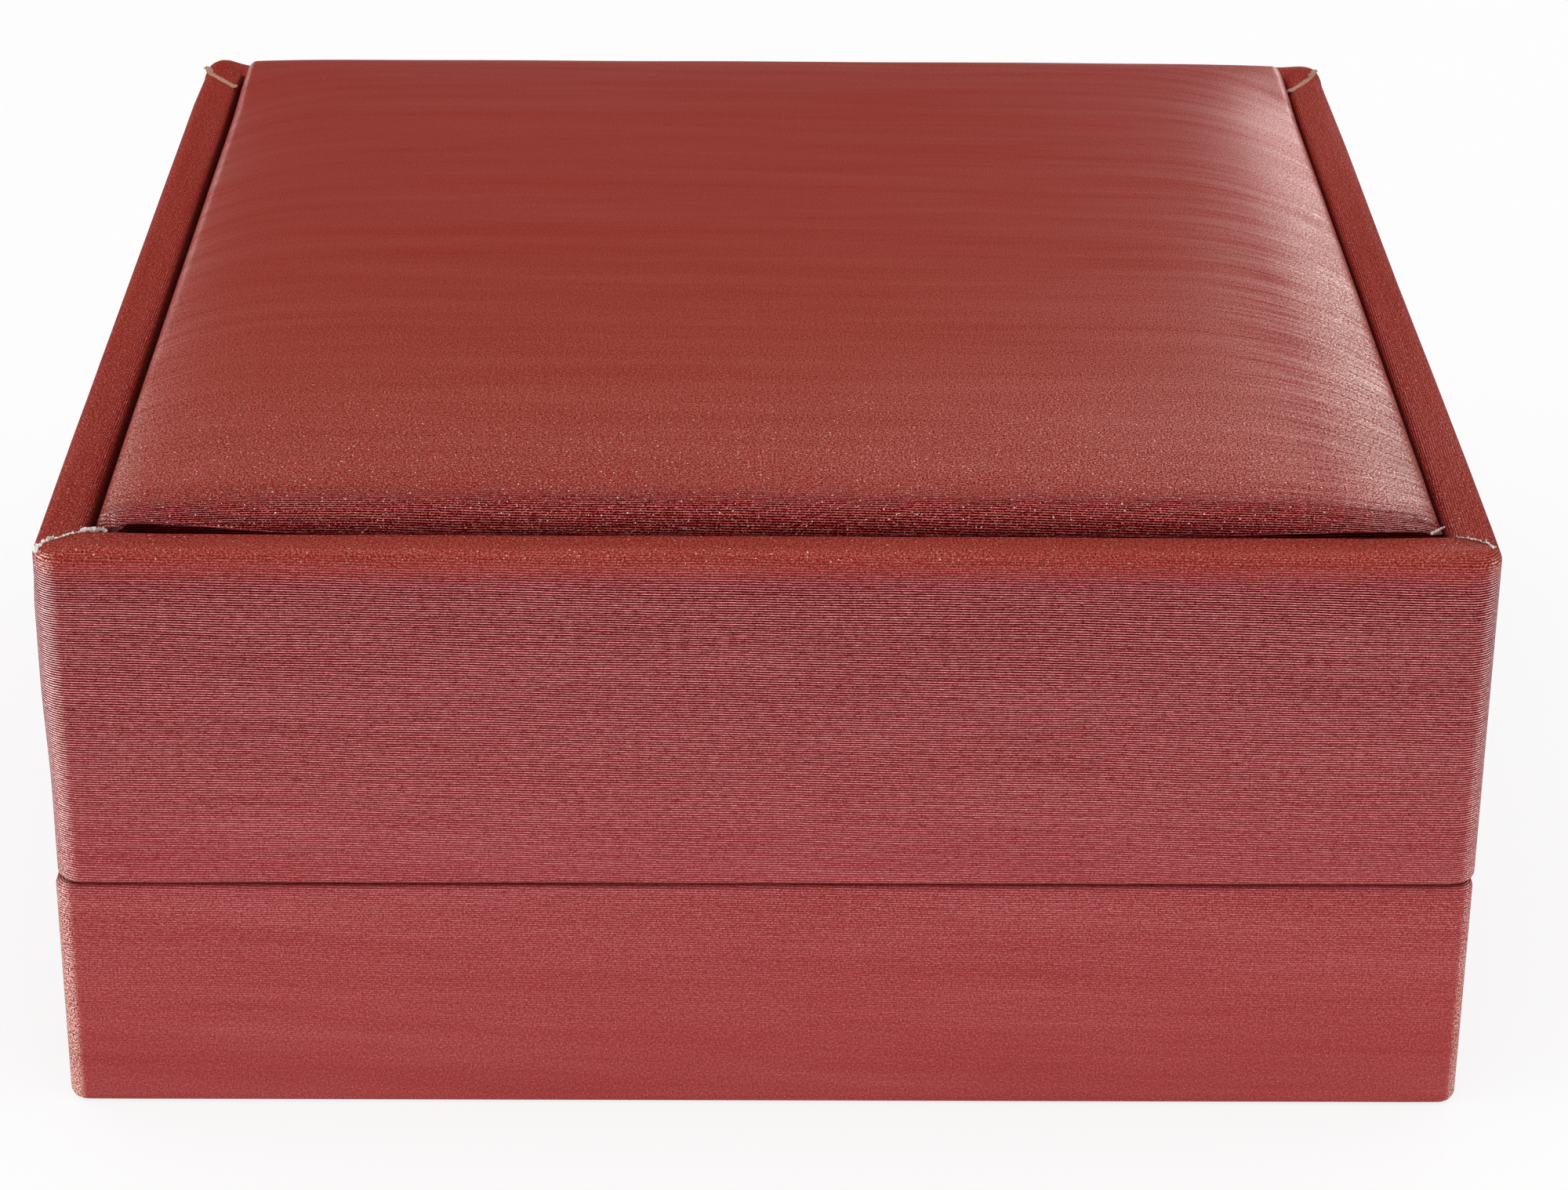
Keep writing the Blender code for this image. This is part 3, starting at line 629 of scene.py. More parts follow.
def rim_overlap(point):
    """How much the front and back strips stand over the side strips at the rim's corners."""
    for outer, inner, strip in MITRES:
        ax, ay = outer[0] * MM, outer[1] * MM
        bx, by = inner[0] * MM, inner[1] * MM
        if point.x * ax < 0 or point.y * ay < 0 or abs(point.x) < 36 * MM:
            continue
        length = math.dist((ax, ay), (bx, by))
        off = ((bx - ax) * (point.y - ay) - (by - ay) * (point.x - ax)) / length
        off *= strip * math.copysign(1, bx - ax)
        fade = 1 - smooth((44 * MM - abs(point.x)) / (6 * MM))
        return OVERLAP * fade * smooth(off / (0.14 * MM) + 0.5)
    return 0.0


# Height of the rear strip's left end over the rim, by x in millimetres
REAR_LEFT_RISE = (
    (-47.2, 0.16), (-46.2, 0.24), (-45.4, 0.12), (-44.6, -0.14), (-43.8, -0.34), (-42.8, -0.34),
    (-41.0, -0.1), (-38, 0),
)
REAR_RIGHT_RISE = ((44.5, 0), (46.3, 0.14), (47.3, 0.20))

# Rise of both edges at the seam from left to right
SEAM_SLOPE = 0.0018

# How far the lid's sides stand out, by y in millimetres
RIGHT_BULGE = ((-50, 0.08), (-44, 0.13), (-31, 0.14), (-16, 0.13), (0, 0.06), (30, 0.12), (50, 0.0))
LEFT_BULGE = ((-50, -0.03), (-30, 0.03), (10, 0.07), (40, 0.10), (50, -0.10))


def on_side(point, inset):
    """1 on the outside of the left and right walls, 0 within the covering and away from those walls."""
    return smooth(1 - inset / (1.2 * MM)) * smooth((abs(point.x) - 44 * MM) / (3 * MM))


def lid_unevenness(point, inset):
    """Small irregularities of the lid's covering: bulging sides, corner overlaps and a wavy edge."""
    shift = Vector()
    x, y = point.x / MM, point.y / MM
    outside = on_side(point, inset)
    bulge = between(y, RIGHT_BULGE) if x > 0 else -between(y, LEFT_BULGE)
    shift.x += bulge * MM * outside
    if x < 0:
        below = smooth((39 * MM - point.z) / (2 * MM)) - 2.2 * smooth((32 * MM - point.z) / (9 * MM))
        shift.x -= 0.10 * MM * outside * below * smooth((-40 - y) / 5)
    if point.z > RIM_Z - 0.7 * MM:
        shift.z += rim_overlap(point)
        back = smooth((y - 46.4) / 0.6)
        shift.z += back * MM * (between(x, REAR_LEFT_RISE) + between(x, REAR_RIGHT_RISE))
        shift.z += 0.03 * MM * wander(point.x, point.y, 11 * MM, 3)
    near_seam = 1 - smooth((point.z - SEAM_Z) / (2.5 * MM))
    if y < 40:
        shift.z += near_seam * (0.045 * MM * wander(point.x, point.y, 12 * MM, 1) + SEAM_SLOPE * point.x)
    return shift


def base_unevenness(point, inset):
    """Sides that stand out a little, a wavy upper edge, and rounder corners at the foot."""
    shift = Vector((math.copysign(BASE_BULGE, point.x) * on_side(point, inset), 0, 0))
    near_seam = 1 - smooth((SEAM_Z - point.z) / (2.5 * MM))
    if point.y < 40 * MM:
        shift.z += near_seam * (0.04 * MM * wander(point.x, point.y, 14 * MM, 4) + SEAM_SLOPE * point.x)
    corner = math.dist((abs(point.x), abs(point.y)), (BASE_HALF.x, BASE_HALF.y))
    low = (1 - smooth(point.z / FOOT_ROUND)) * smooth(point.z / (0.25 * MM))
    shift.z += FOOT_LIFT * smooth(1 - corner / FOOT_ROUND) * low
    return shift


def wall_contrast(point, inset):
    """How clearly the grooves show on a wall, whatever the inset."""
    return between(point.z / MM, WALL_CONTRAST)


def lid_contrast(point, inset):
    """Strong grooves on the walls, hardly any on the rim's flat, and some where the rim turns inwards. This also
    sets how strongly the painted rib highlights and groove shade show: little on the flat, which is lit evenly.
    """
    if point.z < RIM_Z - RIM_EDGE:
        if inset > 0.5 * WALL:
            return 0.8
        return wall_contrast(point, inset) * between(point.z / MM, ((39.2, 1.0), (40.4, 0.45)))
    flat = 0.10
    if point.x > LID_HALF.x - WALL:
        flat = between(point.y / MM, ((-48, 0.26), (-20, 0.20), (20, 0.10)))
    outside = 0.35 * smooth((0.6 * MM - inset) / (0.6 * MM))
    inside = smooth((inset - 2.2 * MM) / (0.8 * MM)) * between(point.y / MM, ((-20, 0.5), (25, 0.15)))
    return flat + (1 - flat) * max(outside, inside)


def make_lid_cover():
    top = RIM_Z
    bottom = SEAM_Z + SEAM_WIDTH / 2
    recess = top - RECESS_DEPTH
    inside = WALL - SKIN
    edge, rim, inner = 0.3 * MM, RIM_EDGE, INNER_EDGE
    outer = [(WALL, bottom + WALL_FLAP), (WALL, bottom + 0.2 * MM), (WALL - 0.2 * MM, bottom)]
    outer += arc((edge, bottom + edge), (edge, edge), 270, 180, 5)
    outer += arc((rim, top - rim), (rim, rim), 180, 90, 8)
    outer += arc((WALL - inner, top - inner), (inner, inner), 90, 0, 6)
    outer += [(WALL, recess), (WALL + PANEL_FLAP, recess)]
    outer = divided(outer, 0.8 * MM)
    under = [(WALL + PANEL_FLAP, recess - SKIN), (inside, recess - SKIN), (inside, top - 0.9 * MM)]
    under += [(inside - 0.4 * MM, top - SKIN), (rim, top - SKIN), (SKIN, top - rim)]
    under += [(SKIN, bottom + SKIN), (inside, bottom + SKIN), (inside, bottom + WALL_FLAP)]
    profile = with_depth(outer, 0.0) + with_depth(under, SKIN)
    traits = 1, lid_unevenness, lid_contrast, ["lid_leatherette"]
    wall_cover("lid_cover", "lid", LID_HALF, LID_CORNER, profile, *traits)


def make_base_cover():
    top = SEAM_Z - SEAM_WIDTH / 2
    inside = WALL - SKIN
    foot, edge = FOOT_EDGE, 0.4 * MM
    outer = [(FOOT_FLAP, 0.0)]
    outer += arc((foot, foot), (foot, foot), 270, 180, 8)
    outer += arc((edge, top - edge), (edge, edge), 180, 90, 5)
    outer += [(WALL - 0.2 * MM, top), (WALL, top - 0.2 * MM), (WALL, top - WALL_FLAP)]
    outer = divided(outer, 0.8 * MM)
    under = [(inside, top - WALL_FLAP), (inside, top - SKIN), (SKIN, top - SKIN), (SKIN, foot)]
    under += [(foot, SKIN), (FOOT_FLAP, SKIN)]
    profile = with_depth(outer, 0.0) + with_depth(under, SKIN)
    traits = -1, base_unevenness, wall_contrast, ["base_leatherette"]
    wall_cover("base_cover", "base", BASE_HALF, BASE_CORNER, profile, *traits)


# Padded panel

def roll(distance, width):
    """Height from 0 to 1 of a quarter round edge at a distance from its foot."""
    share = min(max(distance / width, 0.0), 1.0)
    return math.sqrt(1 - (1 - share) ** 2)


def dome(distance, width):
    """Height from 0 to 1 of a padded surface that levels off away from its edge."""
    return 1 - math.exp(-max(distance, 0.0) / width)


def pad_edge(distance, softness):
    """Height from 0 to 1 at a distance from the pad's edge, for a firm (0) to soft (1) edge."""
    firm = 0.60 * roll(distance, PAD_ROLL) + 0.40 * dome(distance, 8.0 * MM)
    soft = 0.38 * roll(distance, 1.0 * MM) + 0.62 * dome(distance, 5.5 * MM)
    return firm + (soft - firm) * softness


def pad_rise(x, y, half_x, half_y):
    """Height of the pad over its tucked-in edge. Its sides are softer away from the corners."""
    side = half_x - abs(x)
    end = half_y - abs(y)
    share = pad_edge(side, smooth((end + 2 * MM) / (5 * MM)))
    if y > 0:
        tight = 0.9 * roll(side, 1.0 * MM) + 0.1 * dome(side, 5.0 * MM)
        share += (tight - share) * smooth(1 - end / (14 * MM))
    return PAD_RISE * share * pad_edge(end, 0.0)


# How far the front of the pad's cover is pulled up off the rim, by x in millimetres
PAD_LIFT = (
    (-43.3, 0), (-42.3, 0.02), (-41.9, 0.50), (-41.5, 0.76), (-41, 0.80), (-38.5, 0.70), (-36.5, 0.60),
    (-34.5, 0.38), (-32.5, 0.20), (-30, 0.1), (0, 0.1), (28, 0.12), (31, 0.2), (34, 0.34), (38, 0.5),
    (42.5, 0.55), (43.5, 0.3),
)


def pad_pleats(x, y, half_x, half_y):
    """Small folds where the cover is gathered at the front left corner."""
    near = smooth(1 - (x + half_x) / (2.4 * MM)) * smooth(1 - (y + half_y) / (1.3 * MM))
    return 0.26 * MM * near * math.sin(2 * math.pi * (x + 0.5 * y) / (0.55 * MM))


def spread(half, coarse, steps):
    """Places from -half to half, closer together towards both ends."""
    edge = [half - PAD_ROLL * (1 - math.cos(math.pi / 2 * s / steps)) for s in range(steps + 1)]
    inner = half - PAD_ROLL
    count = math.ceil(2 * inner / coarse)
    middle = [-inner + 2 * inner * i / count for i in range(1, count)]
    return [-v for v in edge] + middle + list(reversed(edge))


# How clearly the pad's grooves show, by the distance in millimetres from its front and from its right side
FRONT_CONTRAST = ((0, 1.0), (1.4, 0.9), (2.0, 0.6), (3.2, 0.25), (6, 0.1), (20, 0.05))
RIGHT_CONTRAST = ((0, 0.5), (6, 0.35), (12, 0.0))


def pad_contrast(x, y, half_x, half_y):
    """Grooves show on the roll along the front and on the right side, and fade out towards the back."""
    front = between((y + half_y) / MM, FRONT_CONTRAST)
    right = between((half_x - x) / MM, RIGHT_CONTRAST)
    return max(front, right * between(y / half_y, ((-1, 1), (0.0, 0.5), (0.6, 0.1))))


# How much the grain of the pad's cover shows, from its front (-1) to its back (1)
PAD_GLITTER = (
    (-1.0, 1.3), (-0.9, 1.2), (-0.78, 1.05), (-0.65, 0.84), (-0.52, 0.62), (-0.36, 0.5), (-0.1, 0.3),
    (0.14, 0.22), (1, 0.15),
)


def pad_bend(x, half_x):
    """How far the stretched cover's grooves have moved forward towards its sides, in millimetres."""
    right = max(0.0, 14 - (half_x - x) / MM)
    left = max(0.0, 9 - (half_x + x) / MM)
    return 0.034 * right ** 2 + 0.03 * left ** 2


def pad_drawn(x, y, half_x, half_y):
    """How clearly streaks show where the cover is drawn over the pad's sides, less so towards its back."""
    right = between((half_x - x) / MM, ((0, 1.0), (5, 0.9), (13, 0.0)))
    left = between((half_x + x) / MM, ((0, 0.5), (6, 0.0)))
    return (right + left) * between(y / half_y, ((-0.6, 1.0), (-0.1, 0.5), (0.25, 0.2), (0.6, 0.05)))


# How strong the painted sheen is along the pad's right side, from its front (-1) to its back (1)
PAD_PAINTED_SHEEN = ((-1.0, 0.5), (-0.9, 0.9), (-0.5, 1.0), (-0.1, 0.8), (0.3, 0.35), (0.7, 0.1))


def pad_painted_sheen(x, y, half_x, half_y):
    """How strong a painted pale highlight is where the cover turns over the pad's sides, much stronger on the
    right than on the left.
    """
    right = between((half_x - x) / MM, ((0.2, 0.2), (1.2, 1.0), (2.8, 0.9), (7.0, 0.0)))
    left = between((half_x + x) / MM, ((0.2, 0.0), (0.8, 0.5), (2.5, 0.0)))
    return right * between(y / half_y, PAD_PAINTED_SHEEN) + left * between(y / half_y, ((-0.95, 1.0), (-0.5, 0.0)))


# Rings of the pad's cover under its edge: how far in they lie and their height, None for the edge's own
PAD_UNDERSIDE = (
    (0.04 * MM, None), (0.05 * MM, PAD_FOOT_Z - 0.8 * MM), (0.3 * MM, PAD_LOW.z), (6 * MM, PAD_LOW.z),
)

# How orange the pad is, from its front (-1) to its back (1)
PAD_WARMTH = ((-0.5, 1.0), (0.2, 0.85), (1, 0.7))


def pad_height(x, y, half_x, half_y):
    z = PAD_FOOT_Z + pad_rise(x, y, half_x, half_y)
    z += 0.03 * MM * wander(x, y, 9 * MM, 2) * roll(half_x - abs(x), PAD_ROLL)
    z += pad_pleats(x, y, half_x, half_y)
    if y < 0:
        z = max(z, PAD_FOOT_Z + between((x + PAD_SHIFT) / MM, PAD_LIFT) * MM)
    return z


def make_pad():
    half_x = (PAD_HIGH.x - PAD_LOW.x) / 2 - PAD_NARROWER
    half_y = (PAD_HIGH.y - PAD_LOW.y) / 2
    halves = half_x, half_y
    xs = spread(half_x, 0.7 * MM, 14)
    ys = spread(half_y, 0.7 * MM, 14)
    shape = bmesh.new()
    grain, glitter, gloss_and_painted_light, warmth, drawn = cover_layers(shape)
    grid = []
    across = 0.0
    for number, y in enumerate(ys):
        if number:
            rise = pad_rise(0, y, *halves) - pad_rise(0, ys[number - 1], *halves)
            across += math.hypot(y - ys[number - 1], rise)
        row = []
        for x in xs:
            vertex = shape.verts.new((x + PAD_SHIFT, y, pad_height(x, y, *halves)))
            bend = pad_bend(x, half_x) * smooth((y + half_y - 1.0 * MM) / (14 * MM))
            vertex[grain] = (x / MM, across / MM + bend, pad_contrast(x, y, *halves))
            vertex[glitter] = between(y / half_y, PAD_GLITTER)
            # Over 1 along the pad's sides, for a painted pale highlight there
            vertex[gloss_and_painted_light] = 1.0 + 0.4 * pad_painted_sheen(x, y, *halves)
            vertex[warmth] = between(y / half_y, PAD_WARMTH)
            vertex[drawn] = pad_drawn(x, y, *halves)
            row.append(vertex)
        grid.append(row)
    border = cover_grid(shape, grid)
    previous = border
    for inset, z in PAD_UNDERSIDE:
        ring = []
        for vertex in border:
            tuck = max(0.0, vertex.co.z - PAD_FOOT_Z) * 0.8 if vertex.co.y < 0 else 0.0
            x = (vertex.co.x - PAD_SHIFT) * (half_x - inset) / half_x + PAD_SHIFT
            y = vertex.co.y * (half_y - inset - tuck) / half_y
            lower = shape.verts.new((x, y, vertex.co.z if z is None else z))
            lower[grain] = vertex[grain] + Vector((0, (PAD_FOOT_Z - lower.co.z) / MM, 0))
            lower[warmth] = 1.0
            ring.append(lower)
        join_rings(shape, previous, ring)
        previous = ring
    shape.faces.new(previous)
    pad = finish_mesh("pad_cover", shape, "lid", leatherette(), sharp=60)
    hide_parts("pad_leatherette", "pad_foam")


# Torn edges of the covering's paper backing

CHIP_SEED = 11
TORN_PAPER = (0.86, 0.82, 0.77)
WORN_PAPER = (0.40, 0.20, 0.14)


def chip(shape, place, size, turn, draws):
    """One irregular flake of paper: the hull of a few points in a flat box."""
    corners = []
    for _ in range(9):
        offset = Vector([draws.uniform(-1, 1) * half for half in size])
        corners.append(shape.verts.new(place + turn @ offset))
    hull = bmesh.ops.convex_hull(shape, input=corners)
    left_over = {item for item in hull["geom_interior"] + hull["geom_unused"] if item.is_valid}
    bmesh.ops.delete(shape, geom=list(left_over), context="VERTS")


def torn_edge(name, line, count, size):
    """Flakes of paper along a line of points, all in millimetres."""
    draws = random.Random(CHIP_SEED + len(name))
    line = [Vector(point) * MM for point in line]
    shape = bmesh.new()
    for number in range(count):
        share = (number + draws.uniform(0.1, 0.9)) / count * (len(line) - 1)
        part = int(share)
        start, end = line[part], line[part + 1]
        place = start.lerp(end, share - part)
        place += Vector((draws.uniform(-1, 1), draws.uniform(-1, 1), 0)) * size[1] * 0.6 * MM
        bulk = [value * draws.uniform(0.5, 1.2) * MM for value in size]
        heading = math.atan2(end.y - start.y, end.x - start.x)
        turn = Matrix.Rotation(heading + draws.uniform(-0.6, 0.6), 3, "Z")
        turn = turn @ Matrix.Rotation(draws.uniform(-0.5, 0.5), 3, "X")
        chip(shape, place, bulk, turn, draws)
    finish_mesh(name, shape, "lid", plain("torn_paper", TORN_PAPER, 0.9), sharp=20)


# Lines (x, y, z) of the cuts, in millimetres
FRONT_LEFT_CUT = (
    (-47.1, -49.0, 41.22), (-46.5, -48.5, 41.46), (-45.4, -47.7, 41.52), (-44.0, -46.85, 41.52),
)
FRONT_LEFT_TIP = ((-47.15, -49.1, 41.15), (-46.7, -48.75, 41.35), (-46.1, -48.25, 41.50))
INNER_LEFT_CUT = ((-44.3, -46.85, 41.50), (-43.0, -46.65, 41.46))
FRONT_RIGHT_CUT = ((44.6, -46.95, 41.50), (45.9, -47.4, 41.52), (47.1, -48.4, 41.38))
CORNER_TUFT = ((46.5, -47.6, 41.50), (46.9, -48.6, 41.40))
PAD_TUFT = ((43.2, -46.50, 41.50), (43.95, -46.2, 41.80))

# Name, line, number of flakes and their half sizes, in millimetres
TORN_EDGES = (
    ("torn_front_left", FRONT_LEFT_CUT, 27, (0.21, 0.12, 0.12)),
    ("torn_front_left_tip", FRONT_LEFT_TIP, 13, (0.30, 0.20, 0.30)),
    ("torn_inner_left", INNER_LEFT_CUT, 11, (0.26, 0.16, 0.22)),
    ("torn_front_right", FRONT_RIGHT_CUT, 15, (0.16, 0.06, 0.07)),
    ("torn_corner_tuft", CORNER_TUFT, 10, (0.20, 0.09, 0.13)),
    ("torn_pad_corner", PAD_TUFT, 10, (0.16, 0.09, 0.11)),
)

# Name, line (x, y) and width of the bands of bare paper along the rear corners' cuts, in millimetres, and
# their cross-section: the distance from the middle as a share of the width, and the height in millimetres
WORN_BANDS = (
    ("worn_rear_left", ((-47.35, 47.7), (-46.7, 46.2), (-45.4, 44.3), (-44.3, 42.7)), 0.62),
    ("worn_rear_right", ((47.15, 48.2), (46.5, 46.7), (45.3, 44.6), (44.2, 43.0)), 0.58),
)
BAND_SECTION = ((-0.5, -0.02), (-0.3, 0.03), (0.0, 0.05), (0.3, 0.03), (0.5, -0.02), (0.0, -0.10))


def worn_band(name, line, width):
    """A thin band of bare paper that follows the rim along a cut."""
    draws = random.Random(CHIP_SEED + len(name))
    points = divided(line, 0.25)
    shape = bmesh.new()
    rings = []
    for number, (x, y) in enumerate(points):
        before = points[max(number - 1, 0)]
        after = points[min(number + 1, len(points) - 1)]
        length = math.dist(before, after)
        across = ((before[1] - after[1]) / length, (after[0] - before[0]) / length)
        end = min(number, len(points) - 1 - number)
        wide = width * draws.uniform(0.75, 1.1) * (0.35 if end == 0 else 1.0)
        ring = []
        for off, height in BAND_SECTION:
            place = Vector(((x + across[0] * off * wide) * MM, (y + across[1] * off * wide) * MM, RIM_Z))
            place.z += lid_unevenness(place, 1.5 * MM).z + height * MM
            ring.append(shape.verts.new(place))
        rings.append(ring)
    make_tube(shape, rings)
    finish_mesh(name, shape, "lid", plain("worn_paper", WORN_PAPER, 0.9), sharp=40)


# Pleats at the pad's front left corner: start and end (x, y, z) and half width, in millimetres
PLEATS = (
    ((-43.25, -46.35, 42.30), (-42.35, -46.45, 42.24), 0.12),
    ((-43.30, -46.42, 42.02), (-42.05, -46.55, 42.02), 0.10),
    ((-43.35, -46.48, 41.78), (-41.95, -46.60, 41.84), 0.09),
    ((-43.20, -46.52, 41.56), (-42.00, -46.62, 41.66), 0.09),
)


PLEAT_STEPS = 10
PLEAT_SIDES = 10
PLEAT_ARCH = 0.06 * MM


def make_pleats():
    """Ridges of leatherette that taper at both ends, where the cover is gathered."""
    for number, (start, end, thick) in enumerate(PLEATS):
        start, end = Vector(start) * MM, Vector(end) * MM
        shape = bmesh.new()
        grain, glitter, gloss_and_painted_light, _, _ = cover_layers(shape)
        rings = []
        for step in range(PLEAT_STEPS + 1):
            share = step / PLEAT_STEPS
            arch = math.sin(math.pi * share)
            middle = start.lerp(end, share) + Vector((0, 0, PLEAT_ARCH * arch))
            wide = thick * MM * max(arch ** 0.5, 0.15)
            ring = []
            for turn in range(PLEAT_SIDES):
                angle = 2 * math.pi * turn / PLEAT_SIDES
                offset = Vector((0, math.cos(angle), math.sin(angle))) * wide
                vertex = shape.verts.new(middle + offset)
                vertex[grain] = (middle.x / MM, turn * 0.05, 0.0)
                vertex[glitter] = 0.6
                # Higher on each pleat's upper side, for a painted highlight there
                vertex[gloss_and_painted_light] = 1.0 + 0.5 * max(math.sin(angle), 0)
                ring.append(vertex)
            rings.append(ring)
        make_tube(shape, rings)
        finish_mesh("pleat_%d" % (number + 1), shape, "lid", leatherette(), sharp=60)


def make_torn_edges():
    for traits in TORN_EDGES:
        torn_edge(*traits)
    for traits in WORN_BANDS:
        worn_band(*traits)


# Pillow: a velvet skin blown up by the cloth simulation

SIM_SCALE = 10.0
SIM_VOXEL = 1.6 * MM
SIM_FRAMES = 20
SIM_REACH = 0.9 * MM
PILLOW_FOLDS = 17
PILLOW_SOFT_TOP = 0.9 * MM


def blown_up(thing):
    """Where cloth under pressure moves the mesh's points, with each move held below SIM_REACH."""
    start = [vertex.co.copy() for vertex in thing.data.vertices]
    cloth = thing.modifiers.new("cloth", "CLOTH")
    cloth.settings.quality = 5
    cloth.settings.use_pressure = True
    cloth.settings.uniform_pressure_force = 4.0
    cloth.settings.effector_weights.gravity = 0.0
    cloth.point_cache.frame_start = 1
    cloth.point_cache.frame_end = SIM_FRAMES
    for number in range(1, SIM_FRAMES + 1):
        bpy.context.scene.frame_set(number)
    seen = thing.evaluated_get(bpy.context.evaluated_depsgraph_get())
    moved = [vertex.co.copy() for vertex in seen.data.vertices]
    thing.modifiers.remove(cloth)
    bpy.context.scene.frame_set(1)
    result = []
    for old, new in zip(start, moved):
        step = new - old
        if step.length > SIM_REACH * SIM_SCALE:
            step *= SIM_REACH * SIM_SCALE / step.length
        result.append(old + step)
    return result


def skin_of(solid, cover, name):
    """A remeshed copy of a solid, grown to just inside its cover's box, at SIM_SCALE and about its middle."""
    low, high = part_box(cover)
    inner_low, inner_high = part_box(solid)
    middle = (low + high) / 2
    node = frame["nodes"][solid]
    thing = bpy.data.objects.new(name, node.data.copy())
    bpy.context.scene.collection.objects.link(thing)
    thing.data.transform(Matrix.Translation(-(inner_low + inner_high) / 2) @ node.matrix_world)
    growth = [0.985 * SIM_SCALE * size / inner for size, inner in zip(high - low, inner_high - inner_low)]
    thing.data.transform(Matrix.Diagonal((*growth, 1.0)))
    remesh = thing.modifiers.new("remesh", "REMESH")
    remesh.mode = "VOXEL"
    remesh.voxel_size = SIM_VOXEL * SIM_SCALE
    seen = thing.evaluated_get(bpy.context.evaluated_depsgraph_get())
    mesh = bpy.data.meshes.new_from_object(seen)
    thing.modifiers.remove(remesh)
    thing.data = mesh
    return thing, middle


def pillow_fold(point, half):
    """How far the velvet's gathers at the pillow's two ends move a point outwards, in metres."""
    angle = math.atan2(point.z, point.y * half.z / half.y)
    reach = smooth((abs(point.x) - half.x + 15 * MM) / (11 * MM))
    rim = math.hypot(point.y / half.y, point.z / half.z)
    fold = math.sin(PILLOW_FOLDS * angle + 2.0 * wander(point.y, point.z, 9 * MM, 6))
    return 0.55 * MM * fold * reach * min(rim * 1.6, 1.0)


def make_pillow():
    thing, middle = skin_of("pillow_foam", "pillow_velvet", "pillow_skin")
    for vertex, place in zip(thing.data.vertices, blown_up(thing)):
        vertex.co = place
    thing.data.transform(Matrix.Scale(1 / SIM_SCALE, 4))
    low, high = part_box("pillow_velvet")
    half = (high - low) / 2
    shape = bmesh.new()
    shape.from_mesh(thing.data)
    bmesh.ops.subdivide_edges(shape, edges=shape.edges, cuts=1, use_grid_fill=True, smooth=1.0)
    shape.normal_update()
    moves = []
    for vertex in shape.verts:
        place = vertex.co
        push = pillow_fold(place, half) + 0.22 * MM * wander(place.x, place.y + place.z, 13 * MM, 7)
        moves.append(vertex.normal * push)
    for vertex, move in zip(shape.verts, moves):
        vertex.co += move
        vertex.co.z = max(vertex.co.z, low.z - middle.z)
        over = vertex.co.z - (half.z - PILLOW_SOFT_TOP)
        if over > 0:
            vertex.co.z += PILLOW_SOFT_TOP * math.tanh(over / PILLOW_SOFT_TOP) - over
        vertex.co += middle
    bpy.data.objects.remove(thing)
    pillow = finish_mesh("velvet_cushion", shape, "pillow", velvet())
    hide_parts("pillow_velvet", "pillow_foam")


# Satin cushion on the lid's ceiling

CEILING_COLUMNS = 132
CEILING_ROWS = 136
CEILING_EDGE = 0.5 * MM


def ceiling_depth(x, y, half_x, half_y):
    """How far the ceiling's cushion hangs down from its board, in metres."""
    side, end = half_x - abs(x), half_y - abs(y)
    full = roll(side, 3.0 * MM) * roll(end, 3.0 * MM)
    crown = dome(side, 9 * MM) * dome(end, 9 * MM)
    along_side = math.sin(2 * math.pi * (y / (3.1 * MM) + 0.8 * wander(x, y, 8 * MM, 8)))
    along_end = math.sin(2 * math.pi * (x / (3.4 * MM) + 0.8 * wander(x, y, 8 * MM, 9)))
    pleats = along_side * math.exp(-side / (4.5 * MM)) + along_end * math.exp(-end / (4.5 * MM))
    soft = wander(x, y, 16 * MM, 5) + 0.5 * wander(x, y, 7 * MM, 6)
    return (1.30 * full + 0.60 * crown + 0.15 * pleats * full + 0.12 * soft * full) * MM


def make_ceiling_cushion():
    low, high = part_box("lid_ceiling_pad")
    half_x, half_y = (high.x - low.x) / 2, (high.y - low.y) / 2
    middle_y = (high.y + low.y) / 2
    xs = [half_x * (2 * i / CEILING_COLUMNS - 1) for i in range(CEILING_COLUMNS + 1)]
    ys = [half_y * (2 * i / CEILING_ROWS - 1) for i in range(CEILING_ROWS + 1)]
    shape = bmesh.new()
    grid = []
    for y in ys:
        depths = [CEILING_EDGE + ceiling_depth(x, y, half_x, half_y) for x in xs]
        grid.append([shape.verts.new((x, y + middle_y, high.z - depth)) for x, depth in zip(xs, depths)])
    border = cover_grid(shape, grid)
    ring = [shape.verts.new((vertex.co.x, vertex.co.y, high.z)) for vertex in border]
    join_rings(shape, border, ring)
    shape.faces.new(ring)
    cushion = finish_mesh("satin_cushion", shape, "lid", satin(), sharp=60)
    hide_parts("lid_ceiling_pad")


# CAD pieces that keep their shape

FINISHES = {
    "board": grey_board,
    "velvet": velvet,
    "satin": satin,
    "flock_paper": flock,
    "foam": lambda: plain("foam", (0.80, 0.80, 0.74), 0.95),
    "brass": lambda: brushed("brass", (0.72, 0.48, 0.20), 0.28),
    "spring_steel": lambda: brushed("spring_steel", (0.56, 0.56, 0.58), 0.22),
    "leatherette": leatherette,
}


def paint_frame():
    for entry in frame["record"]["subparts"]:
        thing = frame["nodes"][entry["node"]]
        thing.data.materials.clear()
        thing.data.materials.append(FINISHES[entry["material_slot"]]())


# Surroundings

WORLD_LIGHT = 0.07
FLOOR_GLOW = 0.8


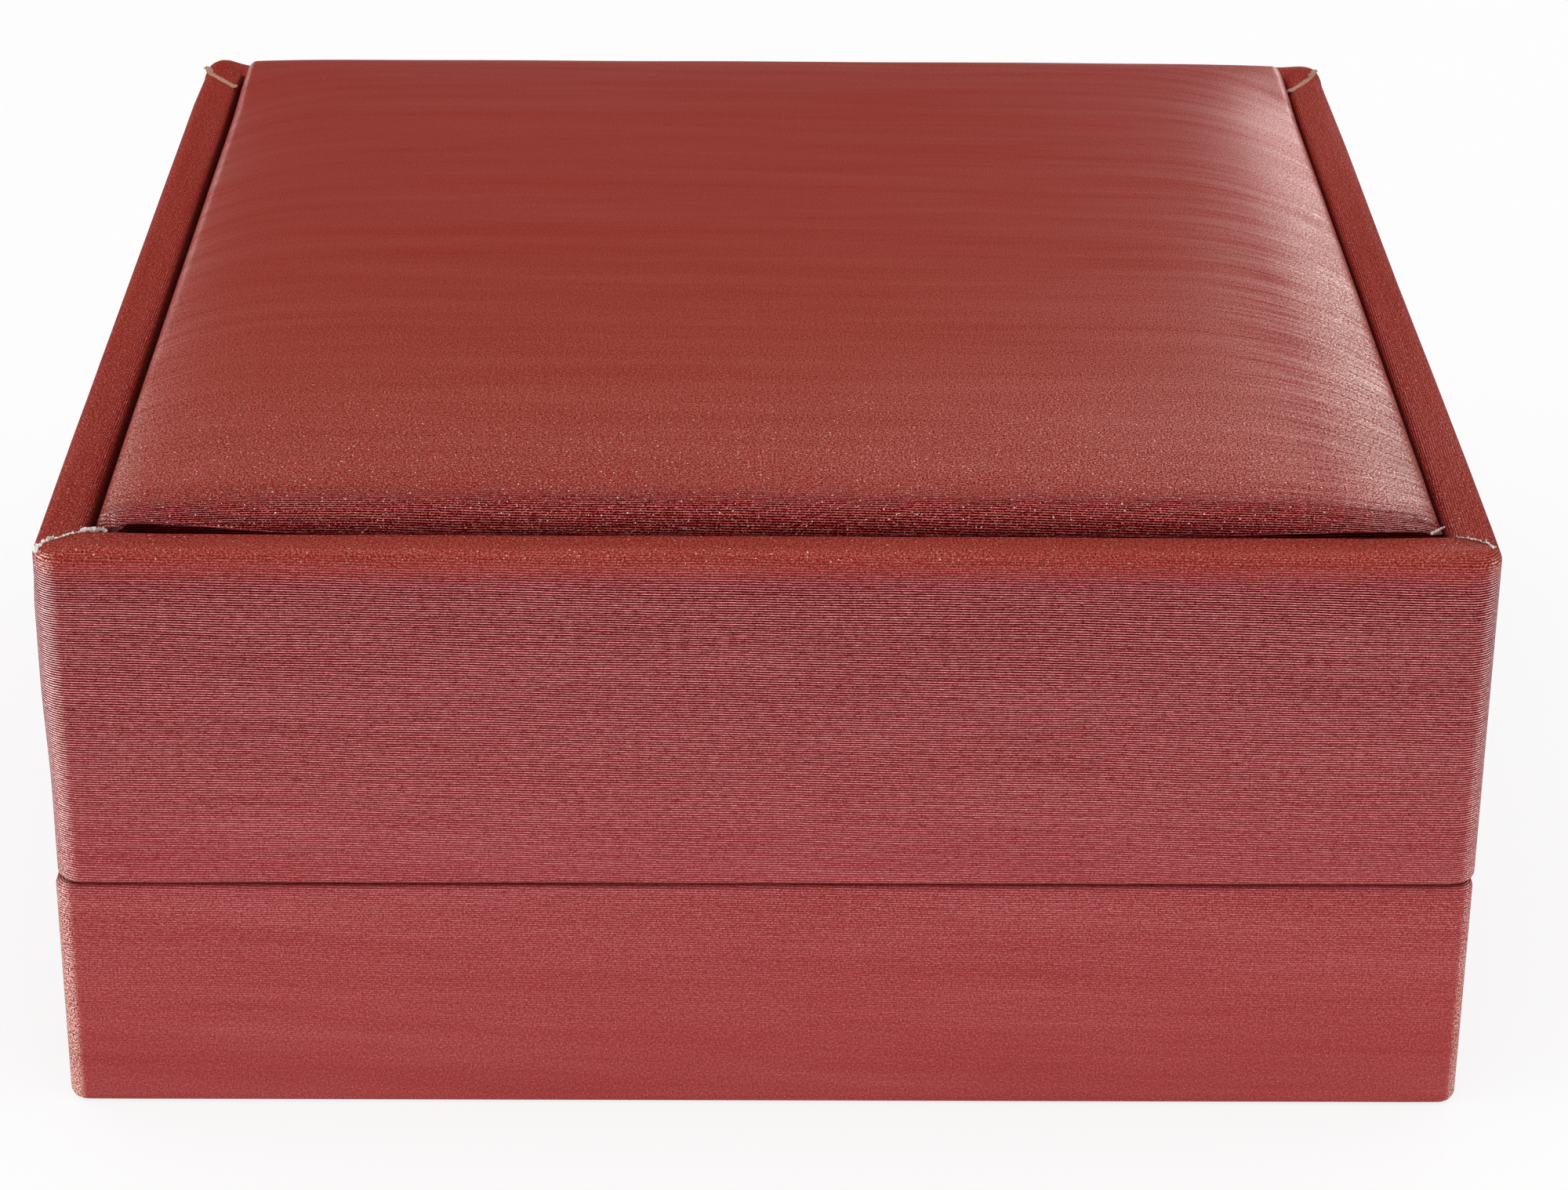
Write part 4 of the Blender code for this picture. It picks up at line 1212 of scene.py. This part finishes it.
def make_floor():
    """A pale floor that is white to the camera and in reflections, and keeps the box's shadow."""
    shape = bmesh.new()
    bmesh.ops.create_grid(shape, x_segments=1, y_segments=1, size=1.5)
    mesh = bpy.data.meshes.new("floor")
    shape.to_mesh(mesh)
    shape.free()
    floor = bpy.data.objects.new("floor", mesh)
    floor.location.z = -0.05 * MM
    bpy.context.scene.collection.objects.link(floor)
    n = Nodes("floor_white")
    n.set({"Base Color": (0.9, 0.9, 0.9), "Roughness": 0.9, "Specular IOR Level": 0.1})
    path = n.add("ShaderNodeLightPath").outputs
    seen = n.math("MAXIMUM", path["Is Camera Ray"], path["Is Glossy Ray"])
    glow = n.add("ShaderNodeEmission", {"Color": (1, 1, 1), "Strength": 1.0}).outputs[0]
    share = n.math("MULTIPLY", seen, FLOOR_GLOW)
    mixed = n.add("ShaderNodeMixShader", {0: share, 1: n.shader.outputs[0], 2: glow}).outputs[0]
    n.tree.links.new(mixed, n.tree.nodes["Material Output"].inputs["Surface"])
    mesh.materials.append(n.material)


def make_world():
    world = bpy.data.worlds.new("studio")
    bpy.context.scene.world = world
    world.use_nodes = True
    tree = world.node_tree
    background = tree.nodes["Background"]
    background.inputs["Color"].default_value = (1, 1, 1, 1)
    path = tree.nodes.new("ShaderNodeLightPath")
    strength = tree.nodes.new("ShaderNodeMapRange")
    strength.inputs[3].default_value = WORLD_LIGHT
    strength.inputs[4].default_value = 1.0
    tree.links.new(path.outputs["Is Camera Ray"], strength.inputs[0])
    tree.links.new(strength.outputs[0], background.inputs["Strength"])


# Soft lamps: name, place, what they point at, width and height in metres, and power in watts
LAMPS = (
    ("top_softbox", (0.0, 0.05, 0.90), (0, 0.05, 0), (1.8, 1.4), 13.3),
    ("back_right_softbox", (0.33, 0.76, 0.19), (0, 0, 0.03), (0.30, 0.18), 1.15),
    ("back_left_softbox", (-0.44, 0.68, 0.17), (0, 0, 0.03), (0.30, 0.18), 0.5),
    ("left_softbox", (-0.75, -0.20, 0.12), (0, 0, 0.03), (0.3, 0.2), 2.0),
    ("right_softbox", (0.75, -0.20, 0.12), (0, 0, 0.03), (0.3, 0.2), 0.9),
    ("floor_softbox", (0.0, -0.23, 0.05), (0, -0.23, 0), (0.5, 0.12), 0.95),
)


def make_lamps():
    for name, place, aim, size, power in LAMPS:
        data = bpy.data.lights.new(name, "AREA")
        data.shape = "RECTANGLE"
        data.size, data.size_y = size
        data.energy = power
        lamp = bpy.data.objects.new(name, data)
        lamp.location = place
        towards = Vector(aim) - lamp.location
        lamp.rotation_euler = towards.to_track_quat("-Z", "Y").to_euler()
        bpy.context.scene.collection.objects.link(lamp)


def main():
    bpy.context.scene.view_settings.view_transform = "Standard"
    paint_frame()
    make_camera()
    make_lid_cover()
    make_base_cover()
    make_pad()
    make_torn_edges()
    make_pleats()
    make_pillow()
    make_ceiling_cushion()
    make_floor()
    make_world()
    make_lamps()


main()
